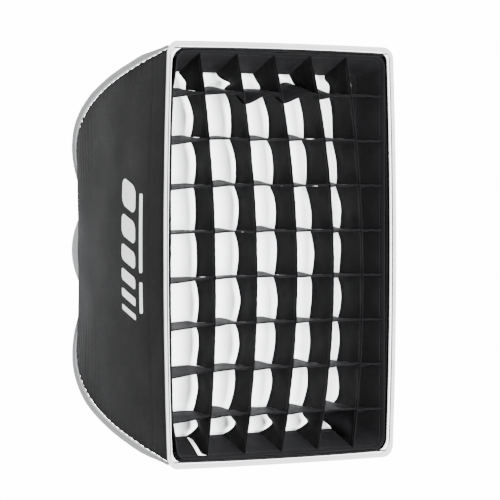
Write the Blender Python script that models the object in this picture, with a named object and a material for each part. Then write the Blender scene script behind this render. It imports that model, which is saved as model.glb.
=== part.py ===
"""Strip softbox, 30 x 45 cm, with an egg-crate grid and a three-lug bayonet speedring.

Metres, +Z up.  The long side stands along Z, the open front faces -Y and the lamp
fastens at the back, towards +Y.  The origin is the centre of the bayonet's seat.
Four bowed rods run from swivelling sockets on the speedring to the front corners,
inside the four corner seams of the cloth shell.
"""

import math

import bmesh
import bpy
from mathutils import Matrix, Vector

# --- Driving dimensions -------------------------------------------------------

GAP = 0.0003  # air left between neighbouring pieces

RIM_WIDTH, RIM_HEIGHT = 0.310, 0.460  # over the binding of the front rim
RIM_RADIUS = 0.014  # outer corner of the rim binding
RIM_BULGE_LONG, RIM_BULGE_SHORT = 0.0045, 0.001  # outward bow of the rim's sides
FRONT_Y = -0.347  # front plane of the rim

TAPE_WIDTH, TAPE_THICK = 0.0075, 0.0024  # folded binding tape, standing off the seam
CLOTH = 0.0015  # shell cloth with its lining
LOOSE_CLOTH = 0.0012  # diffuser, baffle and grid cloth

# The seams' outer line, in the diagonal plane of a corner: (depth from front, radius).
SEAM_CURVE = ((0.0, 0.277), (0.17, 0.235), (0.318, 0.195), (0.341, 0.050))
# The middle line of the wide and of the narrow panels: (depth, distance from axis).
WIDE_MIDDLE = ((0.003, 0.1550), (0.155, 0.1550), (0.289, 0.0850), (0.3336, 0.0492))
NARROW_MIDDLE = ((0.003, 0.2245), (0.155, 0.2160), (0.297, 0.1250), (0.3336, 0.0492))
SEAM_START, SEAM_END = 0.0105, 0.985  # curve parameters where cloth and tape end
ROUND_FROM = 0.93  # share of the panel where it starts to close round the ring
MITRE = 0.0022  # each panel stops this far short of the corner line

ROD_RADIUS, ROD_INSET = 0.002, 0.0165  # rod, and its distance inside the seam's line
ROD_SIDES = 6
ROUND_SIDES = 40  # facets of the ring's turned pieces
SOCKET_RADIUS, SOCKET_BORE = 0.0045, 0.0023
SOCKET_FROM, SOCKET_TO, SOCKET_FLOOR = 0.0485, 0.0770, 0.0590  # radii
PIVOT_RADIUS, PIN_RADIUS = 0.0535, 0.0013
CAP_RADIUS, CAP_LENGTH = 0.0032, 0.012

RING_OUTER, RING_FRONT_BORE, RING_WEB_BORE = 0.0455, 0.0428, 0.0385
RING_FRONT_Y, RING_BACK_Y = -0.0320, -0.0008
WEB_FRONT_Y, WEB_BACK_Y = -0.0174, -0.0078
MOUTH_RADIUS = 0.032
FLANGE_RADIUS, HUB_RADIUS = 0.0425, 0.0380
COLLAR_RADIUS, LUG_RADIUS = 0.0380, 0.0420
COLLAR_BACK_Y, LUG_FRONT_Y = 0.009, 0.0045
LUG_ANGLES = (90.0, 210.0, 330.0)
LUG_SPREAD = 40.0
REAR_TAPE_INNER, REAR_TAPE_OUTER = 0.0462, 0.0535

LOCK_Y = -0.0050
SCREW_RADIUS, BOSS_BORE = 0.0020, 0.0023
PAD_FROM, PAD_TO = 0.0428, 0.0470  # distances from the axis, along +X
SCREW_TO = 0.0660
BOSS_FROM, BOSS_TO = 0.0445, 0.0575
KNOB_FROM, KNOB_TO, KNOB_RADIUS = 0.0592, 0.0712, 0.0050

DIFFUSER_DEPTH, DIFFUSER_WIDTH, DIFFUSER_HEIGHT = 0.054, 0.276, 0.412
DIFFUSER_RADIUS = 0.020
BAFFLE_DEPTH, BAFFLE_WIDTH, BAFFLE_HEIGHT = 0.170, 0.176, 0.266
BAFFLE_RADIUS = 0.012
STRAP_WIDTH, STRAP_THICK = 0.008, 0.001

BAND_FRONT, BAND_REAR = 0.001, 0.046  # depths
BAND_FRONT_HALF = (0.1430, 0.2180)
BAND_REAR_HALF = (0.1310, 0.1995)
BAND_THICK = 0.0015
STRIP_FRONT, STRIP_REAR = 0.003, 0.043
GRID_PITCH = 0.050
GRID_DRAW = 0.03  # share by which the strips draw together sideways from front to rear
GRID_LIFT = 0.004  # how far the outermost cross strips ride up from front to rear
STRIP_BOWS = (0.015, 0.021, 0.026, 0.027, 0.018)  # each long strip's bow towards +X
STRIP_SHIFT = -0.005  # the long strips' ends stand this far off their even places
STRIP_LEAN = 0.005  # and their upper ends lean this much further towards -X
CROSS_COUNT = 8
SLOT_WIDTH = 0.0020
END_GAP = 0.0005  # between a strip's end and its band

SIDES = {"left": (-1, 0), "right": (1, 0), "top": (0, 1), "bottom": (0, -1)}
CORNERS = {
    "top_left": (-1, 1),
    "top_right": (1, 1),
    "bottom_left": (-1, -1),
    "bottom_right": (1, -1),
}
HALF_DIAGONAL = math.hypot(RIM_WIDTH, RIM_HEIGHT)
DIAGONAL = (RIM_WIDTH / HALF_DIAGONAL, RIM_HEIGHT / HALF_DIAGONAL)


# --- Scene helpers --------------------------------------------------------------


def clear_scene():
    for old in list(bpy.data.objects):
        bpy.data.objects.remove(old, do_unlink=True)


def material(name, colour, roughness, metallic=0.0):
    made = bpy.data.materials.new(name)
    made.use_nodes = True
    shader = made.node_tree.nodes["Principled BSDF"]
    shader.inputs["Base Color"].default_value = (*colour, 1.0)
    shader.inputs["Roughness"].default_value = roughness
    shader.inputs["Metallic"].default_value = metallic
    return made


FINISHES = {
    "shell_cloth": ((0.030, 0.030, 0.032), 0.75, 0.0),
    "binding_tape": ((0.62, 0.62, 0.63), 0.70, 0.0),
    "diffuser_cloth": ((0.88, 0.88, 0.87), 0.80, 0.0),
    "grid_cloth": ((0.018, 0.018, 0.019), 0.85, 0.0),
    "strap_web": ((0.025, 0.025, 0.027), 0.80, 0.0),
    "rod_steel": ((0.42, 0.43, 0.45), 0.35, 1.0),
    "pin_steel": ((0.60, 0.60, 0.61), 0.30, 1.0),
    "ring_alloy": ((0.49, 0.495, 0.50), 0.46, 0.9),
    "bayonet_alloy": ((0.62, 0.62, 0.63), 0.32, 1.0),
    "socket_alloy": ((0.50, 0.51, 0.53), 0.38, 1.0),
    "knob_plastic": ((0.020, 0.020, 0.022), 0.50, 0.0),
    "pad_brass": ((0.60, 0.44, 0.20), 0.40, 1.0),
    "cap_plastic": ((0.022, 0.022, 0.024), 0.55, 0.0),
}


def place(name, mesh, finish, origin=(0.0, 0.0, 0.0), parent=None):
    """Adds the mesh, given in the part's frame, as an object whose origin is at origin."""
    made = bpy.data.objects.new(name, mesh)
    bpy.context.scene.collection.objects.link(made)
    mesh.transform(Matrix.Translation(-Vector(origin)))
    mesh.materials.append(material(name, *FINISHES[finish]))
    at = Vector(origin)
    if parent is not None:
        made.parent = parent
        at = at - parent.location
    made.location = at
    return made


def holder(name, origin):
    """An empty on a joint's axis, which carries a moving body's pieces."""
    made = bpy.data.objects.new(name, None)
    made.location = origin
    made.empty_display_size = 0.01
    bpy.context.scene.collection.objects.link(made)
    return made


def mesh_from(points, faces, smooth_angle=None):
    mesh = bpy.data.meshes.new("mesh")
    mesh.from_pydata([tuple(p) for p in points], [], faces)
    work = bmesh.new()
    work.from_mesh(mesh)
    bmesh.ops.recalc_face_normals(work, faces=work.faces)
    if work.calc_volume(signed=True) < 0:
        bmesh.ops.reverse_faces(work, faces=work.faces)
    work.to_mesh(mesh)
    work.free()
    if smooth_angle is not None:
        mesh.shade_smooth()
        mesh.set_sharp_from_angle(angle=math.radians(smooth_angle))
    return mesh


def turned(profile, segments):
    """A closed (radius, y) profile turned once about the Y axis."""
    points, faces = [], []
    for i in range(segments):
        angle = 2 * math.pi * i / segments
        points += [(r * math.cos(angle), y, r * math.sin(angle)) for r, y in profile]
    count = len(profile)
    for i in range(segments):
        a, b = i * count, (i + 1) % segments * count
        for k in range(count):
            m = (k + 1) % count
            faces.append((a + k, a + m, b + m, b + k))
    return mesh_from(points, faces, smooth_angle=35)


def loft(rings, smooth_angle=40):
    """Joins equal rings of points into one solid, capped at both ends."""
    count = len(rings[0])
    points = [p for ring in rings for p in ring]
    faces = []
    for i in range(len(rings) - 1):
        a, b = i * count, (i + 1) * count
        for k in range(count):
            m = (k + 1) % count
            faces.append((a + k, a + m, b + m, b + k))
    faces.append(tuple(range(count)))
    faces.append(tuple(range(len(points) - count, len(points))))
    return mesh_from(points, faces, smooth_angle)


def circle_about(centre, along, radius, segments):
    """A ring of points round a direction."""
    along = Vector(along).normalized()
    side = along.orthogonal().normalized()
    other = along.cross(side)
    centre = Vector(centre)
    return [
        centre
        + radius * math.cos(2 * math.pi * k / segments) * side
        + radius * math.sin(2 * math.pi * k / segments) * other
        for k in range(segments)
    ]


def cylinder(start, end, radius, segments=16):
    along = Vector(end) - Vector(start)
    rings = [circle_about(p, along, radius, segments) for p in (start, end)]
    return loft(rings)


def box(low, high):
    xs, ys, zs = zip(low, high)
    points = [(x, y, z) for x in xs for y in ys for z in zs]
    faces = [(0, 1, 3, 2), (4, 6, 7, 5), (0, 4, 5, 1), (2, 3, 7, 6), (0, 2, 6, 4), (1, 5, 7, 3)]
    return mesh_from(points, faces)


def boolean(target, operation, mesh):
    """Joins or cuts a mesh with the EXACT solver, through a wire cutter object."""
    cutter = bpy.data.objects.new(f"{target.name}_tool", mesh)
    cutter.hide_render = True
    cutter.display_type = "WIRE"
    cutter.location = target.location
    if target.parent is not None:
        cutter.location = target.location + target.parent.location
    mesh.transform(Matrix.Translation(-cutter.location))
    bpy.context.scene.collection.objects.link(cutter)
    change = target.modifiers.new(operation.lower(), "BOOLEAN")
    change.operation = operation
    change.object = cutter
    change.solver = "EXACT"


# --- Curves that shape the cloth ----------------------------------------------------


def smoothstep(low, high, value):
    share = min(max((value - low) / (high - low), 0.0), 1.0)
    return share * share * (3 - 2 * share)


def bezier(control, s):
    q = 1 - s
    weights = (q**3, 3 * q * q * s, 3 * q * s * s, s**3)
    return tuple(sum(w * p[i] for w, p in zip(weights, control)) for i in (0, 1))


def seam_point(s, inset):
    """(depth, radius) of a line that runs inset inside the seams' outer line."""
    step = 1e-4
    depth, radius = bezier(SEAM_CURVE, s)
    ahead, behind = bezier(SEAM_CURVE, s + step), bezier(SEAM_CURVE, s - step)
    run, rise = ahead[0] - behind[0], ahead[1] - behind[1]
    length = math.hypot(run, rise)
    return depth + rise / length * inset, radius - run / length * inset


def in_corner(corner, radius, depth, across=0.0):
    """A point in a corner's diagonal plane, or that far across beside it."""
    sx, sz = CORNERS[corner]
    ex, ez = sx * DIAGONAL[0], sz * DIAGONAL[1]
    return Vector((ex * radius + ez * across, FRONT_Y + depth, ez * radius - ex * across))


def across_corner(corner):
    """The unit vector square to a corner's diagonal plane."""
    return in_corner(corner, 0.0, 0.0, 1.0) - in_corner(corner, 0.0, 0.0)


def radius_at(depth, inset):
    """The radius of an inset seam line where it reaches a depth."""
    low, high = 0.0, 0.9
    for _ in range(40):
        middle = (low + high) / 2
        if seam_point(middle, inset)[0] < depth:
            low = middle
        else:
            high = middle
    return seam_point(low, inset)[1]


def panel_point(side, t, share):
    """The shell's outer face: t from -1 to 1 across the panel, share 0 at the rim, 1 at the ring."""
    sx, sz = SIDES[side]
    wide = sx != 0
    k, k_along = DIAGONAL if wide else DIAGONAL[::-1]
    s = SEAM_START + (SEAM_END - SEAM_START) * share
    depth, radius = seam_point(s, TAPE_WIDTH)
    middle_depth, middle = bezier(WIDE_MIDDLE if wide else NARROW_MIDDLE, share)
    dish = 1 - t * t
    lateral = k * radius + (middle - k * radius) * dish
    depth = depth + (middle_depth - depth) * dish
    along = k_along * radius * t
    closing = smoothstep(ROUND_FROM, 1.0, share)
    angle = math.atan2(k_along, k) * t
    lateral += closing * (radius * math.cos(angle) - lateral)
    along += closing * (radius * math.sin(angle) - along)
    if wide:
        return Vector((sx * lateral, FRONT_Y + depth, along))
    return Vector((along, FRONT_Y + depth, sz * lateral))


def panel_normal(side, t, share):
    """The outward normal of the shell's outer face."""
    step = 2e-3
    low, high = max(share - step, 0.0), min(share + step, 1.0)
    across = panel_point(side, t + step, share) - panel_point(side, t - step, share)
    down = panel_point(side, t, high) - panel_point(side, t, low)
    normal = across.cross(down).normalized()
    sx, sz = SIDES[side]
    outward = Vector((sx, 0.35, sz))
    return normal if normal.dot(outward) > 0 else -normal


# --- Cloth shell -----------------------------------------------------------------


def make_shell_panel(side, parent):
    across, down = 8, 14
    outer, inner = [], []
    for j in range(down + 1):
        share = 1 - (1 - j / down) ** 1.25
        half = (panel_point(side, 1, share) - panel_point(side, -1, share)).length / 2
        reach = 1 - MITRE / half
        for i in range(across + 1):
            t = reach * (2 * i / across - 1)
            at = panel_point(side, t, share)
            outer.append(at)
            inner.append(at - CLOTH * panel_normal(side, t, share))
    points = outer + inner
    row, shift = across + 1, len(outer)
    faces = []
    for j in range(down):
        for i in range(across):
            a = j * row + i
            quad = (a, a + 1, a + row + 1, a + row)
            faces.append(quad)
            faces.append(tuple(v + shift for v in reversed(quad)))
    for i in range(across):
        end = down * row + i
        faces.append((i + 1, i, i + shift, i + 1 + shift))
        faces.append((end, end + 1, end + 1 + shift, end + shift))
    for j in range(down):
        a, b = j * row, j * row + across
        faces.append((a, a + row, a + row + shift, a + shift))
        faces.append((b + row, b, b + shift, b + row + shift))
    return place(f"shell_panel_{side}", mesh_from(points, faces, 40), "shell_cloth", parent=parent)


def make_seam_binding(corner, parent):
    """The tape over a corner seam, standing out in the diagonal plane."""
    rings = []
    stations = 22
    first = SEAM_START + 0.004
    for j in range(stations + 1):
        s = first + (SEAM_END - 0.03 - first) * j / stations
        ease = smoothstep(0.0, 0.14, j / stations)
        outset = (1 - ease) * 0.0045
        base = seam_point(s, TAPE_WIDTH - GAP)
        edge = seam_point(s, outset)
        half = TAPE_THICK / 2
        rings.append(
            [
                in_corner(corner, base[1], base[0], -half),
                in_corner(corner, edge[1], edge[0], -half),
                in_corner(corner, edge[1], edge[0], half),
                in_corner(corner, base[1], base[0], half),
            ]
        )
    return place(f"seam_binding_{corner}", loft(rings), "binding_tape", parent=parent)


def rim_outline(side, inset):
    """Points along one side of the rim, from corner diagonal to corner diagonal."""
    sx, sz = SIDES[side]
    wide = sx != 0
    half_across = (RIM_WIDTH if wide else RIM_HEIGHT) / 2 - inset
    half_along = (RIM_HEIGHT if wide else RIM_WIDTH) / 2 - inset
    radius = max(RIM_RADIUS - inset, 0.003)
    bulge = RIM_BULGE_LONG if wide else RIM_BULGE_SHORT
    straight = half_along - radius
    flat = [straight * (2 * i / 8 - 1) for i in range(9)]
    line = [(half_across + bulge * (1 - (u / straight) ** 2), u) for u in flat]
    arc = []
    for i in range(1, 4):
        angle = math.radians(44.0) * i / 3
        arc.append((half_across - radius * (1 - math.cos(angle)), straight + radius * math.sin(angle)))
    outline = [(a, -u) for a, u in reversed(arc)] + line + arc
    if wide:
        return [(sx * a, u) for a, u in outline]
    return [(u, sz * a) for a, u in outline]


def make_rim_binding(side, parent):
    rings = []
    for outer, inner in zip(rim_outline(side, 0.0), rim_outline(side, TAPE_WIDTH)):
        front, back = FRONT_Y, FRONT_Y + TAPE_THICK
        rings.append(
            [
                (outer[0], front, outer[1]),
                (outer[0], back, outer[1]),
                (inner[0], back, inner[1]),
                (inner[0], front, inner[1]),
            ]
        )
    return place(f"rim_binding_{side}", loft(rings), "binding_tape", parent=parent)


def make_rear_binding(parent):
    front = FRONT_Y + WIDE_MIDDLE[-1][0] + GAP
    back = front + TAPE_THICK
    profile = [
        (REAR_TAPE_INNER, front),
        (REAR_TAPE_OUTER, front),
        (REAR_TAPE_OUTER, back),
        (REAR_TAPE_INNER, back),
    ]
    return place("rear_binding", turned(profile, ROUND_SIDES), "binding_tape", parent=parent)


# --- Diffusers -------------------------------------------------------------------


def rounded_sheet(name, width, height, radius, depth, finish, parent):
    """A flat sheet of cloth with round corners, facing the front."""
    outline = []
    for sx, sz, start in ((1, 1, 0), (-1, 1, 90), (-1, -1, 180), (1, -1, 270)):
        for i in range(5):
            angle = math.radians(start + 90 * i / 4)
            outline.append(
                (
                    sx * (width / 2 - radius) + radius * math.cos(angle),
                    sz * (height / 2 - radius) + radius * math.sin(angle),
                )
            )
    ys = (FRONT_Y + depth, FRONT_Y + depth + LOOSE_CLOTH)
    rings = [[(x, y, z) for x, z in outline] for y in ys]
    return place(name, loft(rings), finish, parent=parent)


def make_baffle_strap(corner, parent):
    """The strap from a corner of the inner baffle to the rod beside it."""
    start = math.hypot(BAFFLE_WIDTH, BAFFLE_HEIGHT) / 2 - 0.002
    end = radius_at(BAFFLE_DEPTH, ROD_INSET) - ROD_RADIUS - 2 * GAP
    rings = []
    for radius in (start, end):
        near, far = BAFFLE_DEPTH, BAFFLE_DEPTH + STRAP_THICK
        half = STRAP_WIDTH / 2
        rings.append(
            [
                in_corner(corner, radius, near, -half),
                in_corner(corner, radius, near, half),
                in_corner(corner, radius, far, half),
                in_corner(corner, radius, far, -half),
            ]
        )
    return place(f"baffle_strap_{corner}", loft(rings), "strap_web", parent=parent)


# --- Rods and their sockets --------------------------------------------------------


def parameter_at_radius(radius, inset):
    """The seam curve's parameter where an inset line reaches a radius near the ring."""
    low, high = 0.3, 0.999
    for _ in range(40):
        middle = (low + high) / 2
        if seam_point(middle, inset)[1] > radius:
            low = middle
        else:
            high = middle
    return low


def socket_slope():
    """(depth, change of depth per radius) of the rod's line at a socket's mouth."""
    s = parameter_at_radius(SOCKET_TO, ROD_INSET)
    step = 1e-3
    ahead, behind = seam_point(s - step, ROD_INSET), seam_point(s + step, ROD_INSET)
    slope = (ahead[0] - behind[0]) / (ahead[1] - behind[1])
    return seam_point(s, ROD_INSET)[0], slope


def socket_line(corner):
    """(the pivot, on the socket's axis; the socket's outward direction)."""
    mouth_depth, slope = socket_slope()
    depth = mouth_depth + slope * (PIVOT_RADIUS - SOCKET_TO)
    pivot = in_corner(corner, PIVOT_RADIUS, depth)
    ahead = in_corner(corner, PIVOT_RADIUS + 1.0, depth + slope)
    return pivot, (ahead - pivot).normalized()


def make_rod_socket(corner, body):
    pivot, out = socket_line(corner)
    start = pivot + out * (SOCKET_FROM - PIVOT_RADIUS)
    end = pivot + out * (SOCKET_TO - PIVOT_RADIUS)
    floor = pivot + out * (SOCKET_FLOOR - PIVOT_RADIUS)
    tube = cylinder(start, end, SOCKET_RADIUS, 16)
    made = place(f"rod_socket_{corner}", tube, "socket_alloy", origin=pivot, parent=body)
    boolean(made, "DIFFERENCE", cylinder(floor, end + out * 0.002, SOCKET_BORE, 12))
    across = across_corner(corner)
    reach = across * (SOCKET_RADIUS + 0.001)
    boolean(made, "DIFFERENCE", cylinder(pivot - reach, pivot + reach, PIN_RADIUS + GAP, 12))
    return made


def make_socket_pin(corner, parent):
    pivot, _ = socket_line(corner)
    across = across_corner(corner)
    reach = across * (SOCKET_RADIUS + GAP + 0.0032)
    pin = cylinder(pivot - reach, pivot + reach, PIN_RADIUS, 12)
    return place(f"socket_pin_{corner}", pin, "pin_steel", parent=parent)


def rod_route(corner):
    """The rod's centre line: straight in its socket, then along the corner seam."""
    pivot, out = socket_line(corner)
    route = [
        pivot + out * (SOCKET_FLOOR + GAP - PIVOT_RADIUS),
        pivot + out * (SOCKET_TO - PIVOT_RADIUS),
    ]
    from_s = parameter_at_radius(SOCKET_TO + 0.008, ROD_INSET)
    to_s = 0.045
    steps = 16
    for j in range(steps + 1):
        s = from_s + (to_s - from_s) * j / steps
        depth, radius = seam_point(s, ROD_INSET)
        route.append(in_corner(corner, radius, depth))
    return route


def make_rod(corner, parent):
    route = rod_route(corner)
    across = across_corner(corner)
    rings = []
    for i, at in enumerate(route):
        along = (route[min(i + 1, len(route) - 1)] - route[max(i - 1, 0)]).normalized()
        other = along.cross(across)
        ring = []
        for k in range(ROD_SIDES):
            angle = 2 * math.pi * (k + 0.5) / ROD_SIDES
            ring.append(at + ROD_RADIUS * (math.cos(angle) * across + math.sin(angle) * other))
        rings.append(ring)
    return place(f"rod_{corner}", loft(rings), "rod_steel", parent=parent)


def make_tip_cap(corner, parent):
    """The plastic cap on a rod's front end, which sits in the corner pocket."""
    route = rod_route(corner)
    tip = route[-1]
    along = (route[-1] - route[-2]).normalized()
    start = tip - along * (CAP_LENGTH - 0.003)
    cap = cylinder(start, tip + along * 0.003, CAP_RADIUS, 12)
    made = place(f"rod_tip_cap_{corner}", cap, "cap_plastic", parent=parent)
    boolean(made, "DIFFERENCE", cylinder(start - along * 0.002, tip + along * GAP, SOCKET_BORE, 12))
    return made


# --- Speedring, bayonet and lock -----------------------------------------------------


def make_bayonet_adapter(body):
    profile = [
        (MOUTH_RADIUS, WEB_FRONT_Y - GAP),
        (HUB_RADIUS, WEB_FRONT_Y - GAP),
        (HUB_RADIUS, WEB_BACK_Y + GAP),
        (FLANGE_RADIUS, WEB_BACK_Y + GAP),
        (FLANGE_RADIUS, 0.0),
        (COLLAR_RADIUS, 0.0),
        (COLLAR_RADIUS, COLLAR_BACK_Y),
        (MOUTH_RADIUS, COLLAR_BACK_Y),
    ]
    made = place("bayonet_adapter", turned(profile, ROUND_SIDES), "bayonet_alloy", parent=body)
    for middle in LUG_ANGLES:
        boolean(made, "UNION", bayonet_lug(middle))
    return made


def bayonet_lug(middle):
    """One lug of the bayonet: a short arc standing out from the collar."""
    rings = []
    inner = COLLAR_RADIUS - 0.001
    for i in range(7):
        angle = math.radians(middle + LUG_SPREAD * (i / 6 - 0.5))
        c, s = math.cos(angle), math.sin(angle)
        back = COLLAR_BACK_Y - 0.0005
        rings.append(
            [
                (inner * c, LUG_FRONT_Y, inner * s),
                (LUG_RADIUS * c, LUG_FRONT_Y, LUG_RADIUS * s),
                (LUG_RADIUS * c, back, LUG_RADIUS * s),
                (inner * c, back, inner * s),
            ]
        )
    return loft(rings)


def make_retaining_ring(body):
    back = WEB_FRONT_Y - 2 * GAP
    front = back - 0.003
    outer = RING_FRONT_BORE - 0.0008
    profile = [(MOUTH_RADIUS, front), (outer, front), (outer, back), (MOUTH_RADIUS, back)]
    return place("adapter_retaining_ring", turned(profile, ROUND_SIDES), "bayonet_alloy", parent=body)


def ear_block(corner, side):
    """One of the two ears that hold a socket's pin."""
    pivot, out = socket_line(corner)
    across = across_corner(corner)
    thick, half_height = 0.0024, 0.0042
    near = side * (SOCKET_RADIUS + GAP)
    far = side * (SOCKET_RADIUS + GAP + thick)
    lift = Vector((0.0, 1.0, 0.0)) * half_height
    rings = []
    for radius in (RING_OUTER - 0.0013, PIVOT_RADIUS + 0.0035):
        at = pivot + out * (radius - PIVOT_RADIUS)
        at.y = pivot.y
        rings.append(
            [
                at + across * near - lift,
                at + across * far - lift,
                at + across * far + lift,
                at + across * near + lift,
            ]
        )
    return loft(rings)


def make_speedring(body):
    recess = FLANGE_RADIUS + 0.0005
    profile = [
        (RING_FRONT_BORE, RING_FRONT_Y),
        (RING_OUTER, RING_FRONT_Y),
        (RING_OUTER, RING_BACK_Y),
        (recess, RING_BACK_Y),
        (recess, WEB_BACK_Y),
        (RING_WEB_BORE, WEB_BACK_Y),
        (RING_WEB_BORE, WEB_FRONT_Y),
        (RING_FRONT_BORE, WEB_FRONT_Y),
    ]
    made = place("speedring", turned(profile, ROUND_SIDES), "ring_alloy", parent=body)
    boss = box((BOSS_FROM, LOCK_Y - 0.0048, -0.0065), (BOSS_TO, LOCK_Y + 0.0045, 0.0065))
    boolean(made, "UNION", boss)
    for corner in CORNERS:
        for side in (-1, 1):
            boolean(made, "UNION", ear_block(corner, side))
    for corner in CORNERS:
        pivot, _ = socket_line(corner)
        across = across_corner(corner)
        reach = across * (SOCKET_RADIUS + 0.006)
        boolean(made, "DIFFERENCE", cylinder(pivot - reach, pivot + reach, PIN_RADIUS + GAP, 12))
    bore = cylinder((RING_WEB_BORE + 0.003, LOCK_Y, 0), (BOSS_TO + 0.002, LOCK_Y, 0), BOSS_BORE, 16)
    boolean(made, "DIFFERENCE", bore)
    return made


def make_lock(pad_body, knob_body):
    pad = cylinder((PAD_FROM, LOCK_Y, 0), (PAD_TO, LOCK_Y, 0), SCREW_RADIUS, 16)
    place("lock_pad", pad, "pad_brass", origin=(PAD_FROM, LOCK_Y, 0), parent=pad_body)
    screw = cylinder((PAD_TO + GAP, LOCK_Y, 0), (SCREW_TO, LOCK_Y, 0), SCREW_RADIUS, 16)
    place("lock_screw", screw, "pin_steel", origin=(PAD_TO, LOCK_Y, 0), parent=knob_body)
    knob = place("lock_knob", fluted_knob(), "knob_plastic", origin=(PAD_TO, LOCK_Y, 0), parent=knob_body)
    bore = cylinder((KNOB_FROM - 0.001, LOCK_Y, 0), (SCREW_TO + GAP, LOCK_Y, 0), BOSS_BORE, 16)
    boolean(knob, "DIFFERENCE", bore)


def fluted_knob():
    """A knob with eight shallow flutes and a chamfered end."""
    flutes, per_flute = 8, 4
    rings = []
    chamfer = 0.0012
    for x, shrink in (
        (KNOB_FROM, chamfer),
        (KNOB_FROM + chamfer, 0.0),
        (KNOB_TO - chamfer, 0.0),
        (KNOB_TO, chamfer),
    ):
        ring = []
        for i in range(flutes * per_flute):
            angle = 2 * math.pi * i / (flutes * per_flute)
            flute = 0.0005 * (1 - math.cos(flutes * angle)) / 2
            radius = KNOB_RADIUS - shrink - flute
            ring.append((x, LOCK_Y + radius * math.cos(angle), radius * math.sin(angle)))
        rings.append(ring)
    return loft(rings, smooth_angle=50)


# --- Egg-crate grid -------------------------------------------------------------------


def band_half(depth, axis):
    """Half the grid's inner width or height at a depth."""
    share = (depth - BAND_FRONT) / (BAND_REAR - BAND_FRONT)
    return BAND_FRONT_HALF[axis] + share * (BAND_REAR_HALF[axis] - BAND_FRONT_HALF[axis])


def make_grid_band(side, body):
    """One side of the band round the grid, leaning inwards towards the back."""
    sx, sz = SIDES[side]
    wide = sx != 0
    rings = []
    for end in (-1, 1):
        ring = []
        for depth, skin in (
            (BAND_FRONT, 0.0),
            (BAND_REAR, 0.0),
            (BAND_REAR, BAND_THICK),
            (BAND_FRONT, BAND_THICK),
        ):
            across = band_half(depth, 0 if wide else 1) - skin
            along = end * (band_half(depth, 1 if wide else 0) - skin - GAP)
            y = FRONT_Y + depth
            ring.append((sx * across, y, along) if wide else (along, y, sz * across))
        rings.append(ring)
    return place(f"grid_band_{side}", loft(rings), "grid_cloth", parent=body)


def slab_with_slots(name, edges, is_slot, rear_slots, at, body):
    """A cloth strip whose slots reach its middle depth from the rear or from the front.

    edges are the places along the strip, is_slot says which spans are slots, and
    at(along, depth, face) gives a point on one of its two faces.
    """
    play = -GAP if rear_slots else GAP
    depths = (STRIP_FRONT, (STRIP_FRONT + STRIP_REAR) / 2 + play, STRIP_REAR)
    cut_row = 1 if rear_slots else 0
    count = len(edges)
    points = [at(e, d, f) for f in (-1, 1) for d in depths for e in edges]

    def index(face, row, i):
        return (face * 3 + row) * count + i

    def kept(row, i):
        return 0 <= row < 2 and 0 <= i < count - 1 and not (row == cut_row and is_slot[i])

    faces = []
    for row in range(2):
        for i in range(count - 1):
            if not kept(row, i):
                continue
            corner = ((row, i), (row, i + 1), (row + 1, i + 1), (row + 1, i))
            for face in (0, 1):
                faces.append(tuple(index(face, *c) for c in corner))
            walls = (
                (kept(row - 1, i), corner[0], corner[1]),
                (kept(row, i + 1), corner[1], corner[2]),
                (kept(row + 1, i), corner[2], corner[3]),
                (kept(row, i - 1), corner[3], corner[0]),
            )
            for joined, a, b in walls:
                if not joined:
                    faces.append((index(0, *a), index(0, *b), index(1, *b), index(1, *a)))
    used = sorted({v for f in faces for v in f})
    renumbered = {v: n for n, v in enumerate(used)}
    faces = [tuple(renumbered[v] for v in f) for f in faces]
    return place(name, mesh_from([points[v] for v in used], faces, 40), "grid_cloth", parent=body)


def slot_edges(middles):
    """(edges of the spans along a strip, which spans are slots).

    The two outer edges lie beyond the band; the strip's ends are cut back to it.
    """
    beyond = RIM_HEIGHT
    edges, is_slot = [-beyond], []
    for middle in middles:
        edges += [middle - SLOT_WIDTH / 2, middle + SLOT_WIDTH / 2]
        is_slot += [False, True]
    return edges + [beyond], is_slot + [False]


def cross_places():
    return [GRID_PITCH * (i - (CROSS_COUNT - 1) / 2) for i in range(CROSS_COUNT)]


def strip_x(number, z):
    """Where a long strip stands at height z: its place, its bow and its lean."""
    place_x = STRIP_SHIFT + GRID_PITCH * (number - (len(STRIP_BOWS) - 1) / 2)
    up = z / band_half(STRIP_FRONT, 1)
    return place_x + STRIP_BOWS[number] * (1 - up**2) - STRIP_LEAN * up


def settled(x, z, depth):
    """Where a place (x, z) on the strips' front edges has settled to at a depth."""
    share = (depth - STRIP_FRONT) / (STRIP_REAR - STRIP_FRONT)
    return x * (1 - GRID_DRAW * share), z + GRID_LIFT * share * (z / cross_places()[-1]) ** 2


def make_long_strip(number, body):
    """A strip along Z, slotted from the rear where the cross strips pass."""
    edges, is_slot = slot_edges(cross_places())

    def at(z, depth, face):
        end = band_half(depth, 1) - BAND_THICK - END_GAP
        x, z = settled(strip_x(number, max(min(z, end), -end)), z, depth)
        return (x + face * LOOSE_CLOTH / 2, FRONT_Y + depth, max(min(z, end), -end))

    name = f"grid_long_strip_{number + 1}"
    return slab_with_slots(name, edges, is_slot, True, at, body)


def make_cross_strip(number, body):
    """A strip along X, slotted from the front where the long strips pass."""
    z = cross_places()[number]
    edges, is_slot = slot_edges([strip_x(i, z) for i in range(len(STRIP_BOWS))])

    def at(x, depth, face):
        end = band_half(depth, 0) - BAND_THICK - END_GAP
        x, height = settled(x, z, depth)
        return (max(min(x, end), -end), FRONT_Y + depth, height + face * LOOSE_CLOTH / 2)

    name = f"grid_cross_strip_{number + 1}"
    return slab_with_slots(name, edges, is_slot, False, at, body)


# --- The whole object ------------------------------------------------------------------


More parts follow.
